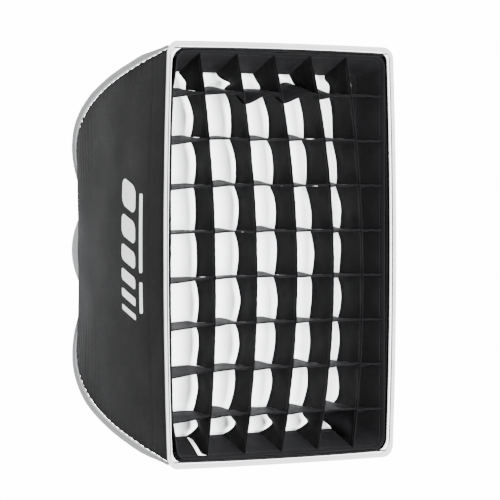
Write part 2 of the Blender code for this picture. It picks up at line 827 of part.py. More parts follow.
def build():
    clear_scene()
    bayonet = holder("bayonet_body", (0, 0, 0))
    shell = holder("box_body", (0, 0, 0))
    grid = holder("grid_body", (0, FRONT_Y, 0))
    pad_body = holder("lock_pad_body", (PAD_FROM, LOCK_Y, 0))
    knob_body = holder("lock_knob_body", (PAD_TO, LOCK_Y, 0))

    make_bayonet_adapter(bayonet)
    make_retaining_ring(bayonet)
    make_speedring(shell)
    make_lock(pad_body, knob_body)

    for corner in CORNERS:
        socket_body = holder(f"rod_socket_{corner}_body", socket_line(corner)[0])
        make_rod_socket(corner, socket_body)
        make_socket_pin(corner, shell)
        make_rod(corner, shell)
        make_tip_cap(corner, shell)
        make_seam_binding(corner, shell)
        make_baffle_strap(corner, shell)

    for side in SIDES:
        make_shell_panel(side, shell)
        make_rim_binding(side, shell)
        make_grid_band(side, grid)
    make_rear_binding(shell)

    rounded_sheet(
        "front_diffuser",
        DIFFUSER_WIDTH,
        DIFFUSER_HEIGHT,
        DIFFUSER_RADIUS,
        DIFFUSER_DEPTH,
        "diffuser_cloth",
        shell,
    )
    rounded_sheet(
        "inner_baffle",
        BAFFLE_WIDTH,
        BAFFLE_HEIGHT,
        BAFFLE_RADIUS,
        BAFFLE_DEPTH,
        "diffuser_cloth",
        shell,
    )
    for number in range(len(STRIP_BOWS)):
        make_long_strip(number, grid)
    for number in range(CROSS_COUNT):
        make_cross_strip(number, grid)


build()
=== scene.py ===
import math

import bpy
import numpy as np
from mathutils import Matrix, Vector, noise


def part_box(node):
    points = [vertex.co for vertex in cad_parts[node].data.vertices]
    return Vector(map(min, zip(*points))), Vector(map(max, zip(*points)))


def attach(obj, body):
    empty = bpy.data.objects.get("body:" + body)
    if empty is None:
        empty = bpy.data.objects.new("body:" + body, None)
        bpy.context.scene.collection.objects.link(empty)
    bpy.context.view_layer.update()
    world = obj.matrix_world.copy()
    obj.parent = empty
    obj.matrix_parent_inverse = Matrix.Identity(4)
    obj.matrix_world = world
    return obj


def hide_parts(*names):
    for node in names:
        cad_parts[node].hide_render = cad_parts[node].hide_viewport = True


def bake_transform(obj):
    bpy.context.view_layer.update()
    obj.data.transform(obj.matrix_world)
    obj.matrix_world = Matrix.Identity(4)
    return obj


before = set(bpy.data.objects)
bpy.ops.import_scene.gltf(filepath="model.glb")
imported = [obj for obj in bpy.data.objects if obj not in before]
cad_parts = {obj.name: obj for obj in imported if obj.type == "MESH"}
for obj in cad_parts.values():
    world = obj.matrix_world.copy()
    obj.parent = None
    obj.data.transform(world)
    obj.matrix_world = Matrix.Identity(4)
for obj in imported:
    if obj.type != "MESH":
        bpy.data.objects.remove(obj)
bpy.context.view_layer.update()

# --- Driving dimensions, in metres ----------------------------------------------------

MM = 0.001
FRONT_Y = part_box("rim_binding_left")[0].y
RIM_WIDTH, RIM_HEIGHT = 0.310, 0.460
RIM_RADIUS = 0.014
RIM_BULGE_LONG, RIM_BULGE_SHORT = 0.0045, 0.001
TAPE_WIDTH, TAPE_THICK = 0.0075, 0.0024
CLOTH = 0.0012

# The corner seams' outer line and the panels' middle lines: (depth, distance from axis).
SEAM_CURVE = ((0.0, 0.277), (0.17, 0.235), (0.318, 0.195), (0.341, 0.050))
WIDE_MIDDLE = ((0.003, 0.1550), (0.155, 0.1550), (0.289, 0.0850), (0.3336, 0.0492))
NARROW_MIDDLE = ((0.003, 0.2245), (0.155, 0.2160), (0.297, 0.1250), (0.3336, 0.0492))
SEAM_START, SEAM_END = 0.0105, 0.985
ROUND_FROM = 0.93

ROD_RADIUS, ROD_INSET = 0.002, 0.0165
SOCKET_TO, SOCKET_FLOOR = 0.0770, 0.0590

BAND_FRONT, BAND_REAR = 0.001, 0.046
BAND_FRONT_HALF, BAND_REAR_HALF = (0.1430, 0.2180), (0.1310, 0.1995)
STRIP_FRONT, STRIP_REAR = 0.003, 0.043
GRID_PITCH = 0.050
GRID_DRAW, GRID_LIFT = 0.03, 0.004
STRIP_BOWS = (0.015, 0.021, 0.026, 0.027, 0.018)
STRIP_SHIFT = -0.005
STRIP_LEAN = 0.005
CROSS_COUNT = 8

SIDES = {"left": (-1, 0), "right": (1, 0), "top": (0, 1), "bottom": (0, -1)}
CORNERS = {
    "top_left": (-1, 1),
    "top_right": (1, 1),
    "bottom_left": (-1, -1),
    "bottom_right": (1, -1),
}
DIAGONAL_LENGTH = math.hypot(RIM_WIDTH, RIM_HEIGHT)
DIAGONAL = (RIM_WIDTH / DIAGONAL_LENGTH, RIM_HEIGHT / DIAGONAL_LENGTH)


# --- Curves that shape the cloth ------------------------------------------------------


def smoothstep(low, high, value):
    share = np.clip((np.asarray(value, float) - low) / (high - low), 0.0, 1.0)
    return share * share * (3 - 2 * share)


def bezier(control, s):
    s = np.asarray(s, float)
    q = 1 - s
    weights = (q**3, 3 * q * q * s, 3 * q * s * s, s**3)
    return tuple(sum(w * p[i] for w, p in zip(weights, control)) for i in (0, 1))


def seam_point(s, inset):
    """(depth, radius) of a line that runs inset inside the seams' outer line."""
    step = 1e-4
    depth, radius = bezier(SEAM_CURVE, s)
    ahead, behind = bezier(SEAM_CURVE, s + step), bezier(SEAM_CURVE, s - step)
    run, rise = ahead[0] - behind[0], ahead[1] - behind[1]
    length = np.hypot(run, rise)
    return depth + rise / length * inset, radius - run / length * inset


def corner_vectors(corner):
    """The outward direction in a corner's diagonal plane, and the one square to it."""
    sx, sz = CORNERS[corner]
    out = np.array((sx * DIAGONAL[0], 0.0, sz * DIAGONAL[1]))
    return out, np.array((out[2], 0.0, -out[0]))


def in_corner(corner, radius, depth, across=0.0):
    """Points in a corner's diagonal plane, or that far across beside it."""
    out, side = corner_vectors(corner)
    radius, depth, across = np.broadcast_arrays(radius, depth, across)
    points = radius[..., None] * out + across[..., None] * side
    points[..., 1] = FRONT_Y + depth
    return points


def panel_points(side, t, share):
    """The shell's outer face: t from -1 to 1 across, share 0 at the rim, 1 at the ring."""
    sx, sz = SIDES[side]
    wide = sx != 0
    k, k_along = DIAGONAL if wide else DIAGONAL[::-1]
    depth, radius = seam_point(SEAM_START + (SEAM_END - SEAM_START) * share, TAPE_WIDTH)
    middle_depth, middle = bezier(WIDE_MIDDLE if wide else NARROW_MIDDLE, share)
    dish = 1 - t * t
    lateral = k * radius + (middle - k * radius) * dish
    depth = depth + (middle_depth - depth) * dish
    along = k_along * radius * t
    closing = smoothstep(ROUND_FROM, 1.0, share)
    angle = math.atan2(k_along, k) * t
    lateral = lateral + closing * (radius * np.cos(angle) - lateral)
    along = along + closing * (radius * np.sin(angle) - along)
    y = FRONT_Y + depth
    parts = (sx * lateral, y, along) if wide else (along, y, sz * lateral)
    return np.stack(np.broadcast_arrays(*parts), -1)


def normals_of(points, outward):
    """Unit normals of a grid of points, on the side that outward points to."""
    across = np.gradient(points, axis=1)
    down = np.gradient(points, axis=0)
    normal = np.cross(across, down)
    normal /= np.maximum(np.linalg.norm(normal, axis=-1, keepdims=True), 1e-12)
    if float((normal @ np.array(outward, float)).mean()) < 0:
        normal = -normal
    return normal


def lengths_along(points, axis):
    """Running length along one axis of a grid of points."""
    steps = np.linalg.norm(np.diff(points, axis=axis), axis=-1)
    total = np.cumsum(steps, axis=axis)
    pad = [(0, 0), (0, 0)]
    pad[axis] = (1, 0)
    return np.pad(total, pad)


def cloth_uv(points):
    """UVs in metres for a grid of points, from the running lengths across and down it."""
    return np.stack([lengths_along(points, 1), lengths_along(points, 0)], -1)


def ripple(points, size, seed):
    """Smooth noise from -1 to 1 at each point, with features of that size."""
    flat = points.reshape(-1, 3) / size
    shift = Vector((seed * 7.31, seed * 3.17, seed * 5.73))
    values = [noise.noise(Vector(p) + shift) for p in flat]
    return np.array(values).reshape(points.shape[:-1])


# --- Meshes ---------------------------------------------------------------------------


def quilt(rows, cols, wrap_rows=False, wrap_cols=False):
    """Quads over a grid of points, and the same quads over its unwrapped grid of UVs."""
    r, c = np.meshgrid(
        np.arange(rows if wrap_rows else rows - 1),
        np.arange(cols if wrap_cols else cols - 1),
        indexing="ij",
    )
    corners = ((r, c), (r, c + 1), (r + 1, c + 1), (r + 1, c))
    quads = [(a % rows) * cols + b % cols for a, b in corners]
    wide = cols + 1 if wrap_cols else cols
    uv_quads = [a * wide + b for a, b in corners]
    return np.stack(quads, -1).reshape(-1, 4), np.stack(uv_quads, -1).reshape(-1, 4)


def add_mesh(name, points, faces, corner_uvs, finishes, finish_of=None, sharp=50):
    """An object from faces, each face's corner UVs and each face's number in finishes."""
    mesh = bpy.data.meshes.new(name)
    mesh.from_pydata(np.asarray(points).reshape(-1, 3).tolist(), [], faces)
    layer = mesh.uv_layers.new(name="cloth")
    layer.data.foreach_set("uv", np.asarray(corner_uvs, np.float32).ravel())
    for finish in finishes:
        mesh.materials.append(finish)
    if finish_of is not None:
        mesh.polygons.foreach_set("material_index", np.asarray(finish_of, np.int32))
    mesh.shade_smooth()
    mesh.set_sharp_from_angle(angle=math.radians(sharp))
    made = bpy.data.objects.new(name, mesh)
    bpy.context.scene.collection.objects.link(made)
    return made


def cloth_solid(name, middle, normals, thick, uv, finishes, kept=None, wrap=False, sharp=50):
    """Cloth of some thickness about a grid of middle points; finishes are (front, back)."""
    rows, cols = middle.shape[:2]
    thick = np.broadcast_to(thick, (rows, cols))[..., None]
    points = np.concatenate([middle + normals * thick / 2, middle - normals * thick / 2])
    quads, uv_quads = quilt(rows, cols, wrap_cols=wrap)
    if kept is not None:
        quads, uv_quads = quads[kept.ravel()], uv_quads[kept.ravel()]
    edges = {}
    for quad, uv_quad in zip(quads.tolist(), uv_quads.tolist()):
        for i in range(4):
            j = (i + 1) % 4
            edges[quad[i], quad[j]] = (uv_quad[i], uv_quad[j])
    uv = uv.reshape(-1, 2)
    shift = rows * cols
    faces = quads.tolist() + (quads[:, ::-1] + shift).tolist()
    corner_uvs = [uv[uv_quads.ravel()], uv[uv_quads[:, ::-1].ravel()]]
    walls = [e for e in edges if e[::-1] not in edges]
    faces += [(b, a, a + shift, b + shift) for a, b in walls]
    if walls:
        wall_uvs = [i for e in walls for i in (edges[e][1], edges[e][0], edges[e][0], edges[e][1])]
        corner_uvs.append(uv[wall_uvs])
    finish_of = [0] * len(quads) + [1] * len(quads) + [0] * len(walls)
    if len(finishes) == 1:
        finish_of = [0] * len(faces)
    return add_mesh(name, points, faces, np.concatenate(corner_uvs), finishes, finish_of, sharp)


def swept(name, rings, finishes, closed=False, finish_of=None, sharp=50):
    """Closed rings of points joined along their path, capped at both ends unless closed."""
    count, around = rings.shape[:2]
    path = rings.mean(axis=1)
    steps = np.linalg.norm(np.roll(path, -1, axis=0) - path, axis=-1)
    along = np.concatenate([[0.0], np.cumsum(steps)])[: count + (1 if closed else 0)]
    girth = np.linalg.norm(np.roll(rings[0], -1, axis=0) - rings[0], axis=-1)
    round_it = np.concatenate([[0.0], np.cumsum(girth)])
    uv = np.stack(np.meshgrid(along, round_it, indexing="ij"), -1).reshape(-1, 2)
    quads, uv_quads = quilt(count, around, wrap_rows=closed, wrap_cols=True)
    faces = quads.tolist()
    corner_uvs = [uv[uv_quads.ravel()]]
    finish_numbers = [0] * len(faces)
    if finish_of is not None:
        per_ring = np.asarray(finish_of)
        finish_numbers = np.tile(per_ring, len(faces) // around).tolist()
    if not closed:
        faces += [tuple(range(around))[::-1], tuple(range((count - 1) * around, count * around))]
        corner_uvs.append(np.zeros((2 * around, 2)))
        finish_numbers += [0, 0]
    return add_mesh(name, rings, faces, np.concatenate(corner_uvs), finishes, finish_numbers, sharp)


def circles(centres, radius, first, second, sides):
    """A ring of points about each centre, in the plane of its two directions."""
    angle = np.linspace(0, 2 * math.pi, sides, endpoint=False)[None, :, None]
    return centres[:, None] + radius * (
        np.cos(angle) * first[:, None] + np.sin(angle) * second[:, None]
    )


def tube(name, path, radius, finishes, sides=12):
    """A round tube along a path; radius is one value or one for each point."""
    path = np.asarray(path, float)
    along = np.gradient(path, axis=0)
    along /= np.linalg.norm(along, axis=1, keepdims=True)
    side = np.cross(along, np.array((0.31, 0.57, 0.76)))
    side /= np.linalg.norm(side, axis=1, keepdims=True)
    radius = np.broadcast_to(radius, len(path))[:, None, None]
    return swept(name, circles(path, radius, side, np.cross(along, side), sides), finishes)


STITCH_LENGTH, STITCH_GAP, THREAD = 2.6 * MM, 0.9 * MM, 0.22 * MM
# Rings along a stitch: (share of its length, share of the thread's radius, radii of lift).
STITCH_STATIONS = ((0.0, 0.35, -0.6), (0.2, 0.9, 0.3), (0.5, 1.0, 0.6), (0.8, 0.9, 0.3), (1.0, 0.35, -0.6))


def stitch_rings(path, normals):
    """Rings of points, five for each stitch, along a path that lies on cloth."""
    steps = np.linalg.norm(np.diff(path, axis=0), axis=1)
    run = np.concatenate([[0.0], np.cumsum(steps)])
    pitch = STITCH_LENGTH + STITCH_GAP
    starts = np.arange(STITCH_GAP, run[-1] - STITCH_LENGTH, pitch)
    stations = []
    for share, size, lift in STITCH_STATIONS:
        at_run = starts + share * STITCH_LENGTH
        at = np.stack([np.interp(at_run, run, path[:, k]) for k in range(3)], -1)
        ahead = np.stack([np.interp(at_run + 1e-4, run, path[:, k]) for k in range(3)], -1) - at
        up = np.stack([np.interp(at_run, run, normals[:, k]) for k in range(3)], -1)
        side = np.cross(ahead, up)
        side /= np.maximum(np.linalg.norm(side, axis=1, keepdims=True), 1e-12)
        stations.append(circles(at + up * lift * THREAD, THREAD * size, side, up, 6))
    return np.stack(stations, 1)


def stitches(name, rows, finish, body):
    """One object with the stitches of several (path, normals) rows."""
    capsules = np.concatenate([stitch_rings(p, n) for p, n in rows])
    count, stations, around = capsules.shape[:3]
    quads, _ = quilt(stations, around, wrap_cols=True)
    each = stations * around
    shifts = np.arange(count)[:, None, None] * each
    faces = (quads[None] + shifts).reshape(-1, 4).tolist()
    first = np.arange(around)
    caps = np.stack([first[::-1], first + each - around])
    faces += (caps[None] + shifts).reshape(-1, around).tolist()
    corners = sum(len(f) for f in faces)
    made = add_mesh(name, capsules, faces, np.zeros((corners, 2)), [finish])
    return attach(made, body)


# --- Materials ------------------------------------------------------------------------


def new_material(name, **constants):
    """A material, its node tree and its shader, with constants set on the shader's sockets."""
    made = bpy.data.materials.new(name)
    made.use_nodes = True
    shader = made.node_tree.nodes["Principled BSDF"]
    for key, value in constants.items():
        shader.inputs[key.replace("_", " ").title().replace("Ior", "IOR")].default_value = value
    return made, made.node_tree, shader


def add_node(tree, kind, inputs=(), **settings):
    """A node with its settings, and its inputs either linked or set."""
    made = tree.nodes.new(kind)
    for key, value in settings.items():
        setattr(made, key, value)
    for key, value in dict(inputs).items():
        if isinstance(value, bpy.types.NodeSocket):
            tree.links.new(value, made.inputs[key])
        else:
            made.inputs[key].default_value = value
    return made


def coordinates(tree, kind):
    return add_node(tree, "ShaderNodeTexCoord").outputs[kind]


def noise_value(tree, place, scale, detail=2.0, roughness=0.5):
    inputs = {"Vector": place, "Scale": scale, "Detail": detail, "Roughness": roughness}
    return add_node(tree, "ShaderNodeTexNoise", inputs).outputs["Fac"]


def stretched(tree, place, scale):
    """Coordinates scaled by a different amount along each axis."""
    return add_node(tree, "ShaderNodeMapping", {"Vector": place, "Scale": scale}).outputs[0]


def remap(tree, value, low, high, to_low=0.0, to_high=1.0):
    inputs = {0: value, 1: low, 2: high, 3: to_low, 4: to_high}
    return add_node(tree, "ShaderNodeMapRange", inputs).outputs[0]


def math_node(tree, operation, a, b):
    return add_node(tree, "ShaderNodeMath", {0: a, 1: b}, operation=operation).outputs[0]


def weighted(tree, *parts):
    """The sum of (value, weight) pairs."""
    total, *others = [math_node(tree, "MULTIPLY", value, weight) for value, weight in parts]
    for other in others:
        total = math_node(tree, "ADD", total, other)
    return total


def set_tone(tree, shader, factor, dark, light):
    tree.links.new(mix_colour(tree, factor, dark, light), shader.inputs["Base Color"])


def set_roughness(tree, shader, factor, low, high):
    """Roughness from low to high as factor goes from 0.3 to 0.7."""
    tree.links.new(remap(tree, factor, 0.3, 0.7, low, high), shader.inputs["Roughness"])


def mix_colour(tree, factor, a, b):
    """A colour between a and b; each is a socket or an (r, g, b)."""
    a, b = (c if isinstance(c, bpy.types.NodeSocket) else (*c, 1.0) for c in (a, b))
    inputs = {0: factor, 6: a, 7: b}
    return add_node(tree, "ShaderNodeMix", inputs, data_type="RGBA").outputs[2]


def add_bump(tree, shader, height, distance, strength=1.0, under=None):
    """Bumps the shader's normal; under is an earlier bump to add it to."""
    inputs = {"Height": height, "Distance": distance, "Strength": strength}
    if under is not None:
        inputs["Normal"] = under
    made = add_node(tree, "ShaderNodeBump", inputs).outputs[0]
    tree.links.new(made, shader.inputs["Normal"])
    return made


WAVE_PERIOD = 2 * math.pi / 20  # of a wave texture at scale 1


def waves(tree, place, period, direction):
    inputs = {"Vector": place, "Scale": WAVE_PERIOD / period}
    return add_node(tree, "ShaderNodeTexWave", inputs, bands_direction=direction).outputs["Fac"]


def weave(tree, pitch):
    """Height of a plain weave with threads of that pitch, over the cloth's own UVs."""
    place = coordinates(tree, "UV")
    warp, weft = waves(tree, place, pitch, "X"), waves(tree, place, pitch, "Y")
    over = add_node(tree, "ShaderNodeTexChecker", {"Vector": place, "Scale": 1 / pitch})
    swap = add_node(tree, "ShaderNodeMix", {0: over.outputs["Fac"], 2: warp, 3: weft})
    return swap.outputs[0]


def cloth_material(name, dark, light, pitch, roughness, weave_depth, **constants):
    """Woven cloth: threads, slubs, and soft patches of tone and roughness; the threads are painted lighter
    on their crests and darker in the gaps, a painted shade.
    """
    made, tree, shader = new_material(name, **constants)
    place = coordinates(tree, "Object")
    threads = weave(tree, pitch)
    patches = noise_value(tree, place, 14.0, 3.0)
    slubs = noise_value(tree, stretched(tree, coordinates(tree, "UV"), (900.0, 60.0, 1.0)), 1.0)
    # tone: patches and slubs are the cloth's own; the threads term is painted shade in the weave's gaps
    tone = weighted(tree, (patches, 0.55), (slubs, 0.25), (threads, 0.20))
    set_tone(tree, shader, tone, dark, light)
    set_roughness(tree, shader, patches, roughness - 0.06, roughness + 0.06)
    under = add_bump(tree, shader, threads, weave_depth, 0.6)
    fine = noise_value(tree, place, 260.0, 3.0, 0.6)
    add_bump(tree, shader, fine, 0.15 * MM, 0.35, under)
    return made


def tape_material(name, dark, light, rib, **constants):
    """Ribbed binding tape: cross ribs, patches of tone and a fine nap; the ribs are painted lighter on
    their crests and darker in the grooves, a painted shade.
    """
    made, tree, shader = new_material(name, **constants)
    ribs = waves(tree, coordinates(tree, "UV"), rib, "X")
    place = coordinates(tree, "Object")
    patches = noise_value(tree, place, 24.0, 4.0)
    # the ribs term is painted shade in the grooves between ribs; the patches are the tape's own tone
    tone = weighted(tree, (ribs, 0.25), (patches, 0.75))
    set_tone(tree, shader, tone, dark, light)
    set_roughness(tree, shader, patches, 0.62, 0.78)
    under = add_bump(tree, shader, ribs, 0.12 * MM, 0.5)
    add_bump(tree, shader, noise_value(tree, place, 320.0, 3.0, 0.6), 0.2 * MM, 0.4, under)
    return made


def lining_material():
    """Silver-coated lining: creased, with a fine ripstop grid; its tone follows the creases' height,
    painted shade in their hollows and a painted highlight on their ridges.
    """
    made, tree, shader = new_material("silver_lining", metallic=0.75)
    place = coordinates(tree, "Object")
    creases = noise_value(tree, place, 55.0, 5.0, 0.62)
    # painted shade and highlight: the tone is darker in the creases' hollows and lighter on their ridges
    tone = remap(tree, creases, 0.3, 0.7)
    set_tone(tree, shader, tone, (0.42, 0.43, 0.45), (0.66, 0.67, 0.69))
    set_roughness(tree, shader, creases, 0.28, 0.5)
    uv = coordinates(tree, "UV")
    ripstop = math_node(tree, "MAXIMUM", waves(tree, uv, 5 * MM, "X"), waves(tree, uv, 5 * MM, "Y"))
    under = add_bump(tree, shader, remap(tree, ripstop, 0.9, 1.0), 0.15 * MM, 0.5)
    add_bump(tree, shader, creases, 0.8 * MM, 0.5, under)
    return made


def diffuser_material():
    """White nylon: ripstop squares, faint blue-grey patches of painted shade spread at random, and threads
    painted lighter on their crests than in their gaps.
    """
    made, tree, shader = new_material("white_diffusion_nylon", sheen_weight=0.15)
    place, uv = coordinates(tree, "Object"), coordinates(tree, "UV")
    patches = noise_value(tree, place, 9.0, 3.0)
    threads = weave(tree, 0.35 * MM)
    # painted shade: the blue-grey patches, and the darker gaps between threads
    tone = weighted(tree, (patches, 0.8), (threads, 0.2))
    set_tone(tree, shader, tone, (0.78, 0.80, 0.83), (0.90, 0.905, 0.91))
    set_roughness(tree, shader, patches, 0.55, 0.7)
    ripstop = math_node(tree, "MAXIMUM", waves(tree, uv, 4 * MM, "X"), waves(tree, uv, 4 * MM, "Y"))
    under = add_bump(tree, shader, remap(tree, ripstop, 0.92, 1.0), 0.1 * MM, 0.4)
    add_bump(tree, shader, threads, 0.05 * MM, 0.4, under)
    return made


def metal_material(name, dark, light, roughness, grain, turned_about=None, **constants):
    """Metal with tool marks or blasted grain, and patches of tone and roughness."""
    made, tree, shader = new_material(name, **constants)
    place = coordinates(tree, "Object")
    smudges = noise_value(tree, place, 60.0, 4.0)
    set_tone(tree, shader, remap(tree, smudges, 0.35, 0.65), dark, light)
    set_roughness(tree, shader, smudges, roughness - 0.07, roughness + 0.09)
    if turned_about is not None:
        inputs = {"Vector": place, "Scale": WAVE_PERIOD / (0.25 * MM), "Distortion": 1.5, "Detail": 1.0}
        marks = add_node(tree, "ShaderNodeTexWave", inputs, wave_type="RINGS", rings_direction=turned_about)
        marks = marks.outputs["Fac"]
    else:
        marks = noise_value(tree, place, 1800.0, 2.0)
    add_bump(tree, shader, marks, grain, 0.5)
    return made


def plastic_material(name, dark, light, roughness):
    """Moulded plastic with a fine spark-eroded texture and faint patches of tone."""
    made, tree, shader = new_material(name, specular_ior_level=0.45)
    place = coordinates(tree, "Object")
    marks = noise_value(tree, place, 90.0, 4.0)
    set_tone(tree, shader, marks, dark, light)
    set_roughness(tree, shader, marks, roughness - 0.08, roughness + 0.08)
    add_bump(tree, shader, noise_value(tree, place, 2600.0, 2.0), 0.06 * MM, 0.5)
    return made


def glow_material(name, strength):
    """A plain white surface of even brightness, for the backdrop and floor."""
    made = bpy.data.materials.new(name)
    made.use_nodes = True
    tree = made.node_tree
    tree.nodes.clear()
    glow = add_node(tree, "ShaderNodeEmission", {"Color": (1, 1, 1, 1), "Strength": strength})
    out = add_node(tree, "ShaderNodeOutputMaterial")
    tree.links.new(glow.outputs[0], out.inputs["Surface"])
    return made


SHELL_CLOTH = cloth_material(
    "charcoal_shell_cloth", (0.0024, 0.0023, 0.0027), (0.0045, 0.0043, 0.0049), 0.45 * MM, 0.60, 0.10 * MM,
    sheen_weight=0.010, sheen_roughness=0.45, specular_ior_level=0.05,
)
GRID_CLOTH = cloth_material(
    "black_grid_nylon", (0.0015, 0.0015, 0.0017), (0.0030, 0.0030, 0.0033), 0.40 * MM, 0.58, 0.10 * MM,
    sheen_weight=0.003, sheen_roughness=0.4, specular_ior_level=0.025,
)
BINDING = tape_material(
    "grey_binding_tape", (0.20, 0.201, 0.205), (0.28, 0.281, 0.285), 0.8 * MM, specular_ior_level=0.2
)
# A paler copy of the binding tape: painted highlight along the round piping of the tape's inner edge, and
# on the rear collar.
HIGHLIGHT_TAPE = tape_material(
    "tape_painted_highlight", (0.40, 0.402, 0.408), (0.52, 0.522, 0.525), 0.8 * MM, specular_ior_level=0.3
)
DARK_WEB = tape_material(
    "black_webbing", (0.006, 0.006, 0.007), (0.014, 0.014, 0.015), 1.1 * MM, specular_ior_level=0.1
)
GRID_BAND_CLOTH = tape_material(
    "black_band_webbing", (0.0022, 0.0022, 0.0024), (0.0046, 0.0046, 0.0050), 1.3 * MM,
    specular_ior_level=0.03,
)
HOOK_TAPE = tape_material(
    "black_hook_tape", (0.003, 0.003, 0.003), (0.008, 0.008, 0.009), 1.6 * MM, specular_ior_level=0.05
)
LINING = lining_material()
DIFFUSION = diffuser_material()
THREAD_DARK = tape_material(
    "black_thread", (0.006, 0.006, 0.007), (0.016, 0.016, 0.018), 0.5 * MM, specular_ior_level=0.1
)
THREAD_LIGHT = tape_material("pale_thread", (0.24, 0.24, 0.245), (0.34, 0.34, 0.345), 0.5 * MM)
TAB_WEBBING = tape_material("white_tab_webbing", (0.66, 0.66, 0.66), (0.80, 0.80, 0.80), 0.9 * MM)
PRINT = tape_material("white_print", (0.80, 0.80, 0.80), (0.88, 0.88, 0.88), 0.45 * MM)
SPRING_STEEL = metal_material(
    "spring_steel", (0.30, 0.31, 0.33), (0.52, 0.53, 0.55), 0.32, 0.02 * MM, metallic=1.0
)
RING_ALLOY = metal_material(
    "cast_aluminium", (0.42, 0.425, 0.43), (0.56, 0.565, 0.57), 0.46, 0.05 * MM, metallic=0.9
)
BAYONET_ALLOY = metal_material(
    "turned_aluminium", (0.50, 0.51, 0.53), (0.68, 0.68, 0.69), 0.30, 0.03 * MM,
    turned_about="Y", metallic=1.0,
)
SOCKET_ALLOY = metal_material(
    "satin_aluminium", (0.46, 0.47, 0.49), (0.60, 0.61, 0.62), 0.36, 0.02 * MM, metallic=1.0
)
BRASS = metal_material("brass", (0.48, 0.33, 0.13), (0.66, 0.49, 0.23), 0.34, 0.02 * MM, metallic=1.0)
BLACK_PLASTIC = plastic_material("black_plastic", (0.010, 0.010, 0.011), (0.020, 0.020, 0.022), 0.48)


# --- Cloth shell ----------------------------------------------------------------------

PANEL_LENGTH = 0.46  # of a panel's cloth from the rim to the ring
HOOK_SEAM = 0.036  # cloth distance from the rim to the hook tape's stitching
LIP_DEPTH = 0.050  # nearer the front than this, the cloth is charcoal inside as well
COLLAR_FROM = -0.0225  # behind this Y, a round collar of the cloth is painted as tape, in the paler tone of the tape's painted highlight
COLLAR_RADIUS = 0.064


def panel_outward(side):
    """Roughly the way a panel's outer face looks: sideways, and a little to the rear."""
    sx, sz = SIDES[side]
    return sx, 0.3, sz


def panel_relief(side, t, share, points):
    """Height of the cloth's puckers, streaks and slack over the smooth panel."""
    half = np.linalg.norm(panel_points(side, 1.0, share) - panel_points(side, -1.0, share), axis=-1) / 2
    from_seam = (1 - np.abs(t)) * half
    along = share * PANEL_LENGTH
    puckers = np.sin(2 * math.pi * along / 0.013 + 3 * ripple(points, 0.05, 1))
    relief = 0.22 * MM * puckers * np.exp(-from_seam / 0.010)
    streaks = np.sin(2 * math.pi * along / 0.017 + 2.2 * ripple(points, 0.09, 2))
    rear = smoothstep(0.35, 0.6, share) * (1 - smoothstep(0.9, 0.99, share))
    strength = smoothstep(0.25, 0.8, np.abs(t)) * (0.6 + ripple(points, 0.12, 3))
    relief = relief + 0.45 * MM * streaks * rear * strength
    relief = relief + 1.0 * MM * ripple(points, 0.11, 4) * np.minimum(from_seam / 0.05, 1.0)
    hem = np.abs(along - HOOK_SEAM)
    relief = relief - 0.25 * MM * np.exp(-((hem / 0.0016) ** 2))
    held = smoothstep(0.0, 0.02, share) * (1 - smoothstep(0.96, 1.0, share))
    return relief * held


def shell_surface(side, t, share):
    """(outer face with its relief, normals) of a shell panel over a grid of t and share."""
    t, share = np.broadcast_arrays(t, share)
    smooth = panel_points(side, t, share)
    normals = normals_of(smooth, panel_outward(side))
    points = smooth + normals * panel_relief(side, t, share, smooth)[..., None]
    return points, normals_of(points, panel_outward(side))


PANEL_ROWS, PANEL_COLUMNS = 150, 108
TUCK = 0.0035  # share by which the cloth reaches forward into the rim binding


def panel_grid():
    down = np.linspace(0, 1, PANEL_ROWS)[:, None]
    share = 1 - (1 - down) ** 1.2
    share = share * (1 + TUCK) - TUCK
    t = np.linspace(-1, 1, PANEL_COLUMNS)[None, :]
    return np.sign(t) * (1 - (1 - np.abs(t)) ** 1.15) * 0.997, share


def make_shell_panel(side):
    t, share = panel_grid()
    outer, normals = shell_surface(side, t, share)
    middle = outer - normals * CLOTH / 2
    along, down = lengths_along(outer, 1), lengths_along(outer, 0)
    along = along - along[:, PANEL_COLUMNS // 2][:, None]
    uv = np.stack([along, down], -1)
    made = cloth_solid(f"shell_cloth_{side}", middle, normals, CLOTH, uv, (SHELL_CLOTH, LINING, HIGHLIGHT_TAPE))
    lip_end = FRONT_Y + LIP_DEPTH
    for face in made.data.polygons:
        if face.material_index == 1 and face.center.y < lip_end:
            face.material_index = 0
        # cloth faces in the rear collar take the paler tape tone, the painted highlight
        elif face.material_index == 0 and face.center.y > COLLAR_FROM:
            if math.hypot(face.center.x, face.center.z) < COLLAR_RADIUS:
                face.material_index = 2
    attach(made, "box")
    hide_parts(f"shell_panel_{side}")
    return outer, normals


def row_path(surface, normals, row=None, column=None):
    picked = (row, slice(None)) if row is not None else (slice(None), column)
    return surface[picked], normals[picked]


def make_shell():
    rows = []
    for side in SIDES:
        outer, normals = make_shell_panel(side)
        last = PANEL_ROWS - 3
        for column in (1, PANEL_COLUMNS - 2):
            path, up = row_path(outer, normals, column=column)
            rows.append((path[4:last], up[4:last]))
        run = lengths_along(outer, 0)[:, PANEL_COLUMNS // 2]
        for distance in (HOOK_SEAM, 0.012):
            row = int(np.argmin(np.abs(run - distance)))
            path, up = row_path(outer, normals, row=row)
            rows.append((path[3:-3], up[3:-3]))
    stitches("shell_stitches", rows, THREAD_DARK, "box")


# --- Binding tape ---------------------------------------------------------------------

# Half thickness of the folded tape from its outer edge to its inner edge: a flat band, a
# stitched valley, and a round piping along the inside.
TAPE_PROFILE = (
    (0.0, 0.0), (0.12, 0.50), (0.45, 0.90), (1.1, 1.08), (2.4, 1.12),
    (3.7, 1.04), (4.4, 0.84), (4.85, 0.40), (5.1, 0.32), (5.35, 0.66),
    (5.8, 1.05), (6.4, 1.20), (7.0, 1.00), (7.35, 0.62), (7.5, 0.0),
)
